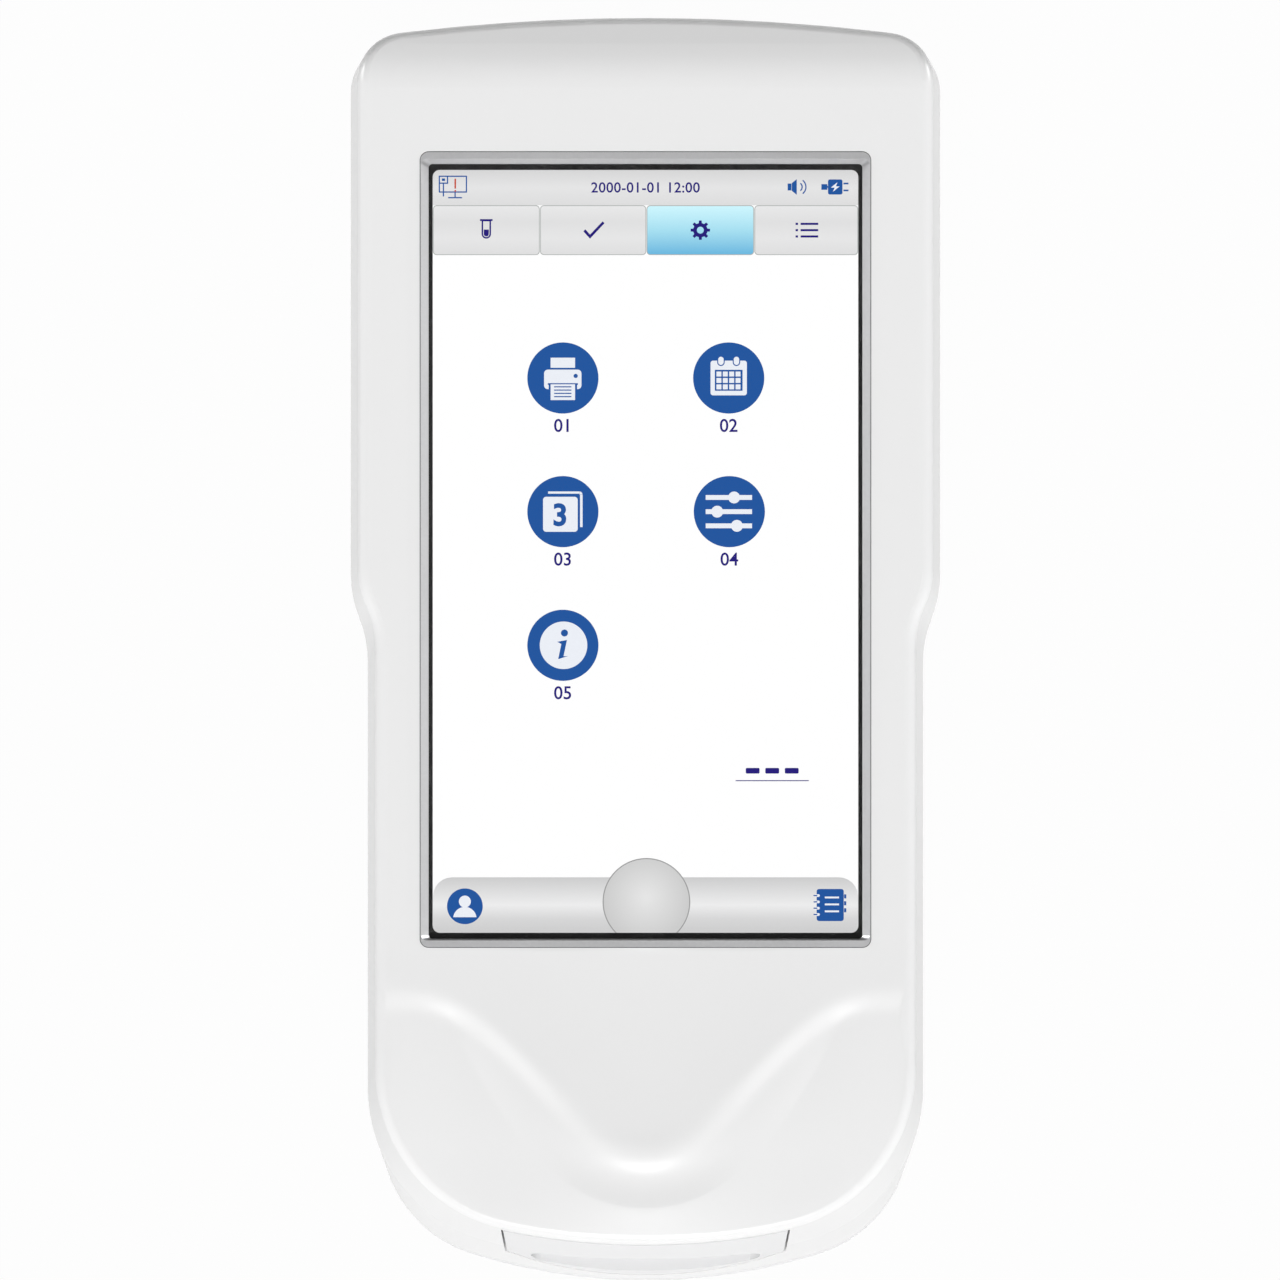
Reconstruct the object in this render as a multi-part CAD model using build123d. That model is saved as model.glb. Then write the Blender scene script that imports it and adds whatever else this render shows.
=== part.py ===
from build123d import *
import os
from math import cos, pi, radians, sin, sqrt, tan

os.makedirs("parts", exist_ok=True)

# All sizes are millimetres and degrees. X runs across the analyzer, +Y towards its head, +Z up.
# The origin lies on the table under the middle of the body. The screen deck leans towards the
# user, and sizes named deck_ or written as (x, t, w) are measured in the deck's own plane:
# t runs up the deck from the point above the origin, and w rises out of it.

# Housing
body_length = 193.9
deck_tilt = 10.0
deck_height = 49.0
head_width = 93.6
grip_width = 88.2
waist_depth = 13.0
side_draft = 0.1
nose_draft = 0.248
back_draft = 0.04
nose_reach = 100.4
base_inset_head = 2.6
base_inset_grip = 2.3
wall = 2.2
floor_thickness = 2.2
foot_height = 1.5
ridge_radius = 1.8
base_radius = 2.2
back_radius = 300.0
back_corner = 8.0
nose_radius = 93.0
nose_corner = 25.0
shoulder_start = 9.0
shoulder_end = -5.0
lip_height = 1.6
fit_gap = 0.1

# Head end of the deck, where it rolls over
roll_start = 86.2
roll_run = 7.0
roll_angle = 25.0

# Nose relief below the screen: a tongue that curls up, wings that fall away, a crown over the
# drawer, and a finger scoop with a sharp lower crease between tongue and crown
relief_start = -44.0
tongue_curl = 0.0014
tongue_top = -57.0
tongue_drop = 22.8
tongue_half_width = 37.3
wing_rise = 0.02
wing_bend = -58.0
wing_fall = 0.0017
wing_step = 0.15
crown_start = -60.0
crown_run = 31.0
crown_height = 2.4
crown_half_width = 36.0
step_width = 7.5
step_lead = 1.25
scoop_top = -59.7
scoop_drop = 31.8
scoop_half_width = 32.0
scoop_power = 2.2
scoop_depth = 0.7
scoop_width = 10.6

# Display stack, top to bottom
display_middle = 12.9
bezel_width = 71.4
bezel_length = 126.1
bezel_rim = 0.15
bezel_slope = 1.2
glass_sink = 0.9
glass_thickness = 0.7
glass_width = 68.8
glass_length = 122.9
glass_shift = -0.28
ledge_width = 0.6
gasket_thickness = 0.7
lcd_width = 72.4
lcd_length = 128.4
lcd_thickness = 2.2
view_width = 68.0
view_length = 121.0
bracket_thickness = 1.2
board_gap = 4.2
board_width = 68.0
board_length = 122.0
board_thickness = 1.6
flex_width = 18.0
flex_thickness = 0.3

# Screws and posts
bracket_screw_x = 38.4
bracket_screw_pitch = 57.5
small_screw = 1.9
small_head = 3.6
small_head_height = 1.2
case_screw = 2.5
case_head = 4.6
case_head_height = 1.8
case_screw_length = 9.0
post_diameter = 7.0
front_post = (36.0, -68.0)
rear_post = (38.2, 84.0)
post_bite = 0.8
screw_seat = 3.2
foot_diameter = 9.0
foot_sink = 0.6
foot_chamfer = 0.5
front_foot = (26.0, -79.0)
rear_foot = (33.0, 72.0)

# Drawer and its front
drawer_half_width = 22.6
drawer_half_low = 21.9
drawer_top_middle = 30.8
drawer_top_side = 29.3
drawer_seam_side = 15.0
drawer_seam_middle = 8.5
drawer_gap = 0.35
drawer_front_back = -88.5
recess_half_width = 16.6
recess_bulge = 1.6
recess_top_middle = 21.4
recess_top_side = 19.0
recess_bottom_middle = 12.0
recess_bottom_side = 13.0
recess_back = -90.4
drawer_travel = 46.0
tray_engaged = 12.0
tray_length = drawer_travel + tray_engaged
tray_bottom = 12.6
tray_top = 19.2
tray_keel_half = 16.5
tray_half = 20.8
tray_step = 15.3
tongue_reach = 1.2
tongue_thickness = 1.6
pocket_width = 28.0
pocket_length = 46.0
pocket_floor = 1.3
runner_gap = 0.15

# Test module
module_half = 27.5
module_front = -84.0
module_back = -24.0
module_sheet = 1.5
module_wall_top = 20.6
rail_height = 6.0
heater_width = 26.0
heater_length = 36.0
heater_thickness = 2.4
heater_gap = 0.3
press_travel = 3.6
press_clearance = 1.0
press_height = module_wall_top + press_clearance + press_travel
press_thickness = 2.4
head_width_x = 24.0
head_length = 18.0
head_height = 4.0
head_middle = -58.0
pin_width = 0.7
pin_reach = 1.1
pin_pitch = 3.0
pin_row = 4.0
column_x = 32.5
rod_diameter = 3.0
rod_top = 31.2
motor_diameter = 10.0
motor_height = 9.0
shaft_gap = 0.05
screw_y = -50.0
rod_y = -60.0
heater_posts = 4.0
guide_boss = 5.0
switch_gap = 0.4
spring_thickness = 0.4

# Battery and its slide-off cover
pack_width = 37.0
pack_length = 65.0
pack_height = 18.5
bay_start = 14.0
bay_wall = 1.6
bay_gap = 0.4
contact_depth = 3.0
cover_half = 23.0
cover_front = 11.0
cover_gap = 0.2
cover_tongue = 1.2
groove_count = 5
groove_pitch = 2.4
groove_length = 20.0
groove_depth = 0.5

# Loudspeaker and the sound slots under it
speaker_y = -8.0
speaker_diameter = 20.0
speaker_height = 4.6
slot_pitch = 2.6
slot_width = 1.2
slot_length = 14.0

# Rear sockets, switch and barcode reader
io_board_back = 88.0
io_board_width = 70.0
io_board_low = 19.0
io_board_high = 35.0
usb_x = -14.0
socket_z = 27.0
usb_width = 9.0
usb_height = 3.3
dc_x = 4.0
dc_diameter = 8.0
dc_bore = 5.6
dc_pin = 2.0
button_x = 21.5
button_diameter = 9.0
button_proud = 0.9
button_travel = 0.8
button_flange = 0.7
button_chamfer = 0.5
scan_width = 24.0
scan_height = 11.0
scan_z = 43.5
scan_depth = 14.0

tilt = radians(deck_tilt)
base_z = foot_height
floor_top = base_z + floor_thickness
half_length = body_length / 2
glass_middle = display_middle + glass_shift
deck = Plane(origin=(0, 0, deck_height), x_dir=(1, 0, 0), z_dir=(0, -sin(tilt), cos(tilt)))


def deck_z(y, w=0.0):
    """Height over the table of the deck plane, or of a plane w above it, at a place along Y."""
    return deck_height + y * tan(tilt) + w / cos(tilt)


def on_deck(shape):
    """Moves a shape drawn as (x, t, w) into its place on the leaning deck."""
    return deck.location * shape


def box_between(low, high):
    """A box from its lowest to its highest corner."""
    size = [b - a for a, b in zip(low, high)]
    middle = [(a + b) / 2 for a, b in zip(low, high)]
    return Pos(*middle) * Box(*size)


def rod_between(x, y, low, high, diameter):
    """An upright cylinder from one height to another."""
    return Pos(x, y, (low + high) / 2) * Cylinder(diameter / 2, high - low)


def along_y(x, z, low, high, diameter):
    """A cylinder that lies along Y."""
    return Pos(x, (low + high) / 2, z) * Rot(90, 0, 0) * Cylinder(diameter / 2, high - low)


def rounded_plate(width, length, low, high, radius, t=0.0):
    """A flat plate with rounded corners, centred on X."""
    return Pos(0, t, low) * extrude(RectangleRounded(width, length, radius), high - low)


def one_solid(shape):
    """The largest solid of a result, so that a node holds clean geometry."""
    return max(shape.solids(), key=lambda solid: solid.volume)


def body_outline(head, grip, back, front, shoulder, nose, corner, inset=0.0):
    """Plan outline of the body: arched back, shoulders down to the grip, and a round nose."""
    head, grip = head - inset, grip - inset
    back, front = back - inset, front + inset
    nose, corner = nose - inset, corner - inset
    arch, bend = back_radius - inset, back_corner - inset
    arch_y = back - arch
    bend_y = arch_y + sqrt((arch - bend) ** 2 - (head - bend) ** 2)
    bend_centre = Vector(head - bend, bend_y)
    out = (bend_centre - Vector(0, arch_y)).normalized()
    arch_end = Vector(0, arch_y) + out * arch
    bend_middle = bend_centre + (out + Vector(1, 0)).normalized() * bend
    head_corner = Vector(head, bend_y)
    shoulder_top = Vector(head, shoulder[0])
    shoulder_low = Vector(grip, shoulder[1])
    shoulder_middle = (shoulder_top + shoulder_low) * 0.5
    nose_y = front + nose
    corner_centre = Vector(grip - corner, nose_y - sqrt((nose - corner) ** 2 - (grip - corner) ** 2))
    down = (corner_centre - Vector(0, nose_y)).normalized()
    corner_start = Vector(grip, corner_centre.Y)
    corner_middle = corner_centre + (down + Vector(1, 0)).normalized() * corner
    corner_end = Vector(0, nose_y) + down * nose

    def other(point):
        return Vector(-point.X, point.Y)

    right = [
        ThreePointArc(arch_end, bend_middle, head_corner),
        Line(head_corner, shoulder_top),
        TangentArc(shoulder_top, shoulder_middle, tangent=(0, -1)),
        TangentArc(shoulder_low, shoulder_middle, tangent=(0, 1)),
        Line(shoulder_low, corner_start),
        ThreePointArc(corner_start, corner_middle, corner_end),
    ]
    left = [
        ThreePointArc(other(corner_end), other(corner_middle), other(corner_start)),
        Line(other(corner_start), other(shoulder_low)),
        TangentArc(other(shoulder_low), other(shoulder_middle), tangent=(0, 1)),
        TangentArc(other(shoulder_top), other(shoulder_middle), tangent=(0, -1)),
        Line(other(shoulder_top), other(head_corner)),
        ThreePointArc(other(head_corner), other(bend_middle), other(arch_end)),
    ]
    back_arc = ThreePointArc(other(arch_end), (0, back), arch_end)
    front_arc = ThreePointArc(corner_end, (0, front), other(corner_end))
    return Wire([back_arc, *right, front_arc, *left])


def ring_at(w, inset):
    """The body's outline in a plane w above the deck, from the waist line upwards."""
    rise = w + waist_depth
    back = (half_length + w * sin(tilt)) / cos(tilt) - back_draft * rise
    outline = body_outline(
        head_width / 2 - side_draft * rise,
        grip_width / 2 - side_draft * rise,
        back,
        -nose_reach + nose_draft * rise,
        (shoulder_start + rise / 12, shoulder_end + rise / 4),
        nose_radius + rise / 9,
        nose_corner + rise / 9,
        inset=inset,
    )
    return deck.offset(w) * outline


def base_ring(z, inset):
    """The body's outline at the table end, in a level plane."""
    outline = body_outline(
        head_width / 2 - base_inset_head,
        grip_width / 2 - base_inset_grip,
        half_length - back_draft * waist_depth,
        -half_length,
        (shoulder_start + 2, shoulder_end + 2),
        nose_radius - 2,
        nose_corner - 5,
        inset=inset,
    )
    return Plane.XY.offset(z) * outline


def body_block(inset, low):
    """The closed body form before its top is shaped: ridge, waist and base outlines joined."""
    rings = [ring_at(5, inset), ring_at(-waist_depth, inset), base_ring(low, inset)]
    return Solid.make_loft(rings, ruled=True)


def ease(u):
    """Rises smoothly from 0 to 1."""
    u = min(max(u, 0.0), 1.0)
    return u * u * (3 - 2 * u)


def bell(x, half_width):
    """Falls smoothly from 1 on the middle line to 0 at a half width."""
    return 0.5 + 0.5 * cos(pi * min(abs(x) / half_width, 1.0))


def tongue_edge(x):
    """Where the tongue below the screen ends, along the deck."""
    return tongue_top - tongue_drop * bell(x, tongue_half_width)


def scoop_edge(x):
    """Where the finger scoop ends in its sharp lower crease."""
    reach = 1 - min(abs(x) / scoop_half_width, 1.0) ** scoop_power
    return scoop_top - scoop_drop * reach


def relief(x, t):
    """Height of the moulded nose over the deck plane."""
    reach = max(relief_start - t, 0.0)
    tongue = tongue_curl * reach ** 2
    bend = max(wing_bend - t, 0.0)
    wing = wing_rise * reach - wing_fall * bend ** 2 - wing_step
    crown = crown_height * bell(x, crown_half_width) * ease((crown_start - t) / crown_run)
    outside = ease((tongue_edge(x) - t + step_lead) / step_width)
    inside_scoop = min(max(t - scoop_edge(x), 0.0) / scoop_width, 1.0)
    scoop = 0.0
    if abs(x) < scoop_half_width:
        scoop = scoop_depth * (1 - (1 - inside_scoop) ** 2)
    return (1 - outside) * tongue + outside * (wing + crown - scoop)


def relief_face():
    """The moulded nose surface, drawn over a grid of heights."""
    half = head_width / 2 + 7
    front = -half_length - 14
    columns, rows = 44, 54
    grid = []
    for i in range(columns):
        x = -half + 2 * half * i / (columns - 1)
        line = []
        for j in range(rows):
            t = front + (relief_start - front) * j / (rows - 1)
            line.append(Vector(x, t, relief(x, t)))
        grid.append(line)
    return Face.make_surface_from_array_of_points(grid, tol=0.04)


def sky_blocks(sink):
    """What is cut off above the deck, with the deck lowered by sink: nose, flat and rolled head."""
    high = 30.0
    wide = head_width + 14
    far = half_length + 14
    nose = on_deck(Pos(0, 0, -sink) * Solid.extrude(nose_surface, Vector(0, 0, high)))
    flat = on_deck(box_between((-wide / 2, relief_start, -sink), (wide / 2, roll_start, high)))
    fall = tan(radians(roll_angle))
    bend_end = (roll_start + roll_run, -sink - fall * roll_run / 2)
    slope_end = (far, bend_end[1] - fall * (far - bend_end[0]))
    leave = (cos(radians(roll_angle)), -sin(radians(roll_angle)))
    bend = Spline([(roll_start, -sink), bend_end], tangents=[(1, 0), leave])
    rest = Polyline([bend_end, slope_end, (far, high), (roll_start, high), (roll_start, -sink)])
    profile = Face(Wire([bend, *rest.edges()]))
    side = Plane(origin=(-wide / 2, 0, 0), x_dir=(0, 1, 0), z_dir=(1, 0, 0))
    head = on_deck(side.location * Solid.extrude(profile, Vector(0, 0, wide)))
    return [nose, flat, head]


def shaped_body(inset, low, sink):
    """The body form with its deck, moulded nose and rolled head."""
    body = body_block(inset, low)
    for block in sky_blocks(sink):
        body = body - block
    return one_solid(body)


def ridge_edges(body):
    """The edges where the deck, nose and head meet the walls."""
    found = []
    for edge in body.edges():
        ends = [deck.to_local_coords(edge @ u) for u in (0.0, 0.5, 1.0)]
        if min(point.Z for point in ends) < -6:
            continue
        if all(abs(point.X) > grip_width / 2 - 6 or point.Y < -78 or point.Y > 92 for point in ends):
            found.append(edge)
    return found


def outer_form():
    """The outside of the whole housing, with its ridge and base edges rounded."""
    body = shaped_body(0.0, base_z, 0.0)
    body = body.fillet(ridge_radius, ridge_edges(body))
    low = [edge for edge in body.edges() if max((edge @ u).Z for u in (0, 0.5, 1)) < base_z + 0.01]
    return body.fillet(base_radius, low)


def under_parting(rise=0.0):
    """Everything below the line where the two shells meet: the waist, then down round the nose."""
    bend_start = -71.0
    bend_end = -86.0
    nose_z = base_z + 3.4
    start = (bend_start, deck_z(bend_start, -waist_depth) + rise)
    end = (bend_end, nose_z + rise)
    far = half_length + 20
    curve = Spline([start, end], tangents=[(-cos(tilt), -sin(tilt)), (-1, 0)])
    points = [end, (-far, end[1]), (-far, -20), (far, -20), (far, deck_z(far, -waist_depth) + rise), start]
    profile = Face(Wire([curve, *Polyline(points).edges()]))
    side = Plane(origin=(-head_width, 0, 0), x_dir=(0, 1, 0), z_dir=(1, 0, 0))
    return side.location * Solid.extrude(profile, Vector(0, 0, 2 * head_width))


def mirrored(x, y):
    return [(-x, y), (x, y)]


case_posts = mirrored(*front_post) + mirrored(*rear_post)
foot_places = mirrored(*front_foot) + mirrored(*rear_foot)
bracket_screws_at = [(side * bracket_screw_x, display_middle + step * bracket_screw_pitch)
                     for side in (-1, 1) for step in (-1, 0, 1)]

gasket_top = -wall
lcd_top = gasket_top - gasket_thickness
bracket_top = lcd_top - lcd_thickness
bracket_low = bracket_top - bracket_thickness
board_top = bracket_low - board_gap
board_low = board_top - board_thickness
board_posts = [(side * (board_width / 2 - 4), display_middle + end * (board_length / 2 - 4))
               for side in (-1, 1) for end in (-1, 1)]
flex_end = display_middle - board_length / 2 + 8

tray_front = drawer_front_back
tray_back = tray_front + tray_length
pocket_front = tray_front + 5.0
pocket_back = pocket_front + pocket_length
tongue_low = (tray_step + tray_top) / 2 - tongue_thickness / 2
heater_low = tray_bottom - heater_gap - heater_thickness
heater_y = (pocket_front + pocket_back) / 2 - 2
guide_places = [(-column_x, screw_y), (column_x, rod_y)]
module_screw_places = [(x, y) for x in (-module_half + 5, module_half - 5)
                       for y in (module_front + 6, module_back - 7)]

io_board_front = io_board_back + board_thickness
io_boss_x = io_board_width / 2 - 3.5
button_wall = half_length - (button_x + button_diameter / 2) ** 2 / (2 * back_radius)

nose_surface = relief_face()
outer = outer_form()
inner = shaped_body(wall, floor_top, wall)
wall_inside = body_block(wall, floor_top)
lip_outside = body_block(wall / 2, floor_top)
groove_outside = body_block(wall / 2 - fit_gap, floor_top)
below = under_parting()


def post_top(y):
    return deck_z(y, -waist_depth)


def drawer_mouth(grow):
    """Upright section of the drawer front: arched seam and top, sides drawn in a little below."""
    half = drawer_half_width + grow
    low = drawer_half_low + grow
    side = drawer_seam_side - grow
    top = drawer_top_side + grow
    seam = ThreePointArc((-low, side), (0, drawer_seam_middle - grow), (low, side))
    crest = ThreePointArc((half, top), (0, drawer_top_middle + grow), (-half, top))
    right = Line((low, side), (half, top))
    left = Line((-half, top), (-low, side))
    return Plane.XZ * Face(Wire([seam, right, crest, left]))


def drawer_block(grow, back):
    """The drawer front's section run through the nose wall, from outside to a depth."""
    face = drawer_mouth(grow)
    run = half_length + 10 + back
    return Pos(0, back, 0) * Solid.extrude(face, Vector(0, -run, 0))


def upper_cover():
    """Top shell: deck, moulded nose with the drawer mouth, and the upper half of the walls."""
    posts, holes = [], []
    for x, y in case_posts:
        low = post_top(y)
        high = deck_z(y, -wall + post_bite)
        posts.append(rod_between(x, y, low - 1, high, post_diameter - 1) - below)
        holes.append(rod_between(x, y, low - 1, low + case_screw_length - screw_seat, case_screw))
    for x, t in bracket_screws_at:
        posts.append(on_deck(rod_between(x, t, bracket_top, -wall / 2, 4.0)))
        holes.append(on_deck(rod_between(x, t, bracket_top - 1, -wall / 2 - 0.8, small_screw)))
    holes.append((groove_outside - wall_inside) & under_parting(lip_height + fit_gap))
    opening = rounded_plate(bezel_width + 2 * fit_gap, bezel_length + 2 * fit_gap, -wall - 1, 3, 1.4,
                            display_middle)
    holes.append(on_deck(opening))
    holes.append(drawer_block(drawer_gap, drawer_front_back))
    cover = one_solid(outer - below) - inner
    return one_solid(one_solid(cover) + posts - holes)


def battery_bay():
    """Walls and roof of the battery compartment, standing on the floor."""
    half = pack_width / 2 + bay_gap
    end = bay_start + contact_depth + pack_length + 2 * bay_gap
    roof = floor_top + 0.2 + pack_height + bay_gap
    block = box_between((-half - bay_wall, bay_start - bay_wall, floor_top - 0.5),
                        (half + bay_wall, end + bay_wall, roof + bay_wall))
    return block, box_between((-half, bay_start, base_z - 2), (half, end, roof))


def battery_cover_form(grow):
    """The slide-off cover's plate and side tongues; grown, it is the room for them."""
    half = cover_half + grow
    plate = box_between((-half, cover_front - grow, base_z - 3), (half, half_length + 5, floor_top + grow))
    tongue = box_between((-half - cover_tongue, cover_front + 3 - grow, base_z + 0.9 - grow),
                         (half + cover_tongue, half_length + 5, base_z + 1.7 + grow))
    return plate + tongue


def lower_housing():
    """Bottom shell with floor, posts, battery bay, reader shelf and rear socket holes."""
    under = one_solid(outer & below)
    lip = (lip_outside - wall_inside) & (under_parting(lip_height) - below)
    lip = lip & box_between((-60, -68, 0), (60, 110, 70))
    pad = box_between((-cover_half - 3, cover_front - 3, floor_top - 0.5),
                      (cover_half + 3, half_length, floor_top + 2))
    block, hollow = battery_bay()
    shelf_z = scan_z - scan_height / 2 - 0.6
    shelf = box_between((-scan_width / 2 - 2, half_length - wall - scan_depth - 1, shelf_z - 1.6),
                        (scan_width / 2 + 2, half_length - wall / 2, shelf_z))
    inside = [pad, shelf]
    holes = [hollow, battery_cover_form(cover_gap), speaker_slots()]
    for x, y in case_posts:
        high = post_top(y)
        inside.append(rod_between(x, y, floor_top - 1, high + 1, post_diameter))
        holes.append(rod_between(x, y, base_z - 1, high - screw_seat, case_head + 0.6))
        holes.append(rod_between(x, y, base_z, high + 1, case_screw + 0.3))
    for x, y in foot_places:
        holes.append(rod_between(x, y, base_z - 1, base_z + foot_sink, foot_diameter + 2 * fit_gap))
    for side in (-1, 1):
        x = side * io_boss_x
        inside.append(along_y(x, socket_z, io_board_front, half_length - wall / 2, 5.0))
        holes.append(along_y(x, socket_z, io_board_front - 1, io_board_front + 3, small_screw))
    holes.append(along_y(dc_x, socket_z, half_length - 6, half_length + 2, dc_diameter + 2 * fit_gap))
    holes.append(along_y(button_x, socket_z, half_length - 6, half_length + 2, button_diameter + 2 * fit_gap))
    holes.append(usb_shell(fit_gap, half_length + 2))
    holes.append(scan_opening(0.0, half_length - 8))
    kept = [under & piece for piece in inside]
    base = one_solid(under - inner)
    return one_solid(base + [lip, block, speaker_seat(), *kept] - holes)


def speaker_seat():
    """A low ring on the floor that holds the loudspeaker."""
    ring = rod_between(0, speaker_y, floor_top - 0.5, floor_top + 2, speaker_diameter + 3)
    return ring - rod_between(0, speaker_y, floor_top, floor_top + 3, speaker_diameter + 2 * fit_gap)


def speaker_slots():
    """The sound slots through the floor under the loudspeaker."""
    slots = []
    for step in (-2, -1, 0, 1, 2):
        slot = SlotOverall(slot_length - 2 * abs(step), slot_width, rotation=90)
        slots.append(Pos(step * slot_pitch, speaker_y, base_z - 1) * extrude(slot, 2 * floor_thickness))
    return Compound(slots)


def usb_shell(grow, end):
    """The rounded outside of the data socket, run along Y."""
    size = RectangleRounded(usb_width + 2 * grow, usb_height + 2 * grow, usb_height / 2 - 0.05)
    face = Plane(origin=(usb_x, io_board_front, socket_z), x_dir=(1, 0, 0), z_dir=(0, 1, 0)) * size
    return extrude(face, end - io_board_front)


def scan_opening(grow, low):
    """The reader window's rounded section, run through the back wall."""
    size = RectangleRounded(scan_width + 2 * grow, scan_height + 2 * grow, 2.0)
    face = Plane(origin=(0, low, scan_z), x_dir=(1, 0, 0), z_dir=(0, 1, 0)) * size
    return extrude(face, half_length + 5 - low)


def battery_cover():
    """Slide-off cover under the battery, with grip grooves near its rear edge."""
    cover = outer & battery_cover_form(0.0)
    half = groove_length / 2
    for step in range(groove_count):
        y = half_length - 14 - groove_pitch * step
        groove = box_between((-half, y, base_z - 1), (half, y + groove_pitch / 2, base_z + groove_depth))
        cover = cover - groove
    return one_solid(cover)


def rubber_feet():
    """Four round feet in shallow seats."""
    foot = Cylinder(foot_diameter / 2, foot_height + foot_sink)
    foot = chamfer(foot.edges().group_by(Axis.Z)[0], foot_chamfer)
    return Compound([Pos(x, y, (foot_height + foot_sink) / 2) * foot for x, y in foot_places])


def case_screws():
    """Four long-reach screws up the posts, with their recessed heads."""
    screws = []
    for x, y in case_posts:
        seat = post_top(y) - screw_seat
        shank = rod_between(x, y, seat, seat + case_screw_length - 0.6, case_screw)
        head = rod_between(x, y, seat - case_head_height, seat, case_head)
        socket = Pos(x, y, seat - case_head_height) * extrude(RegularPolygon(1.2, 6), 1.0)
        screws.append(one_solid(shank + head - socket))
    return Compound(screws)


def display_bezel():
    """Satin trim ring: a flat-topped frame whose inner face slopes down to the glass."""
    ring = rounded_plate(bezel_width, bezel_length, -wall, bezel_rim, 1.3, display_middle)
    low = -glass_sink
    reach = bezel_slope + glass_shift / 2
    mouth = RectangleRounded(glass_width, glass_length, 0.6)
    rim = RectangleRounded(glass_width + 2 * bezel_slope, bezel_length - 2 * reach, 0.9)
    funnel = loft([Pos(0, glass_middle, low) * mouth, Pos(0, display_middle, bezel_rim) * rim])
    seat = rounded_plate(glass_width + 0.1, glass_length + 0.1, low - glass_thickness, low, 0.6, glass_middle)
    through = rounded_plate(glass_width - 2 * ledge_width, glass_length - 2 * ledge_width, -wall - 1, 0, 0.4,
                            glass_middle)
    return one_solid(on_deck(ring - funnel - seat - through))


def touch_panel():
    """Glass touch panel that lies on the bezel's ledge."""
    low = -glass_sink - glass_thickness
    return on_deck(rounded_plate(glass_width, glass_length, low, -glass_sink, 0.6, glass_middle))


def display_gasket():
    """Foam frame between bezel and display."""
    outer_frame = rounded_plate(lcd_width, lcd_length, lcd_top, gasket_top, 1.0, display_middle)
    return on_deck(outer_frame - rounded_plate(view_width, view_length, lcd_top - 1, 0, 0.5, glass_middle))


def lcd_module():
    """Display cell with a raised glass field inside its metal edge."""
    back = rounded_plate(lcd_width, lcd_length, bracket_top, lcd_top, 1.0, display_middle)
    field = rounded_plate(view_width - 0.4, view_length - 0.4, lcd_top, -glass_sink - glass_thickness - 0.1,
                          0.5, glass_middle)
    return on_deck(back + field)


def display_bracket():
    """Tray that clamps the display to the cover and carries the main board on posts."""
    plate = rounded_plate(lcd_width, lcd_length, bracket_low, bracket_top, 1.0, display_middle)
    for x, t in bracket_screws_at:
        tab = box_between((-abs(x) - 1.9, t - 3, bracket_low), (abs(x) + 1.9, t + 3, bracket_top))
        plate = plate + tab
    for end in (-1, 1):
        window = rounded_plate(44, 40, bracket_low - 1, bracket_top + 1, 4, display_middle + end * 30)
        plate = plate - window
    for x, t in board_posts:
        plate = plate + rod_between(x, t, board_top, bracket_top, 5.0)
        plate = plate - rod_between(x, t, board_top - 1, board_top + 3, small_screw)
    for x, t in bracket_screws_at:
        plate = plate - rod_between(x, t, bracket_low - 1, bracket_top + 1, small_screw + 0.3)
    return one_solid(on_deck(plate))


def small_screws(places, seat, length):
    """Pan-head screws that point up the deck normal, heads below."""
    screws = []
    for x, t in places:
        shank = rod_between(x, t, seat, seat + length, small_screw)
        head = rod_between(x, t, seat - small_head_height, seat, small_head)
        screws.append(on_deck(one_solid(shank + head)))
    return Compound(screws)


def main_board():
    """Main circuit board under the display bracket."""
    board = rounded_plate(board_width, board_length, board_low, board_top, 2.0, display_middle)
    for x, t in board_posts:
        board = board - rod_between(x, t, board_low - 1, board_top + 1, small_screw + 0.3)
    return on_deck(board)


def board_shields():
    """Two tin shield cans on the board's lower face."""
    cans = []
    for t, width, length in ((display_middle + 26, 34, 40), (display_middle - 24, 26, 30)):
        cans.append(on_deck(rounded_plate(width, length, board_low - 2.4, board_low, 1.0, t)))
    return Compound(cans)


def board_connectors():
    """The display connector on top and the lead headers below."""
    display = box_between((-11, flex_end - 3, board_top), (11, flex_end, board_top + 1.4))
    headers = []
    for x in (-24, 24):
        for t in (display_middle - 44, display_middle + 4):
            headers.append(on_deck(box_between((x - 4, t - 3, board_low - 3), (x + 4, t + 3, board_low))))
    return Compound([on_deck(display), *headers])


def display_flex():
    """Flat lead from the display's lower edge round to its connector."""
    edge = display_middle - lcd_length / 2
    high = (bracket_top + lcd_top) / 2
    low = board_top + 0.7
    path = FilletPolyline([(edge, high), (edge - 3, high), (edge - 3, low), (flex_end - 3, low)], radius=1.0)
    strip = trace(path, line_width=flex_thickness)
    side = Plane(origin=(-flex_width / 2, 0, 0), x_dir=(0, 1, 0), z_dir=(1, 0, 0))
    band = extrude(side.location * strip, flex_width, dir=(1, 0, 0))
    keep = box_between((-flex_width, -200, -40), (flex_width, edge, 10))
    keep = keep + box_between((-flex_width, -200, -40), (flex_width, flex_end - 3, bracket_low))
    return one_solid(on_deck(band & keep))


def battery_pack():
    """Two round cells side by side in a shrink sleeve."""
    low = floor_top + 0.2
    y = bay_start + contact_depth + bay_gap
    sleeve = Plane(origin=(0, y, low + pack_height / 2), x_dir=(1, 0, 0), z_dir=(0, 1, 0)) * SlotOverall(
        pack_width, pack_height)
    return extrude(sleeve, pack_length)


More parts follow.
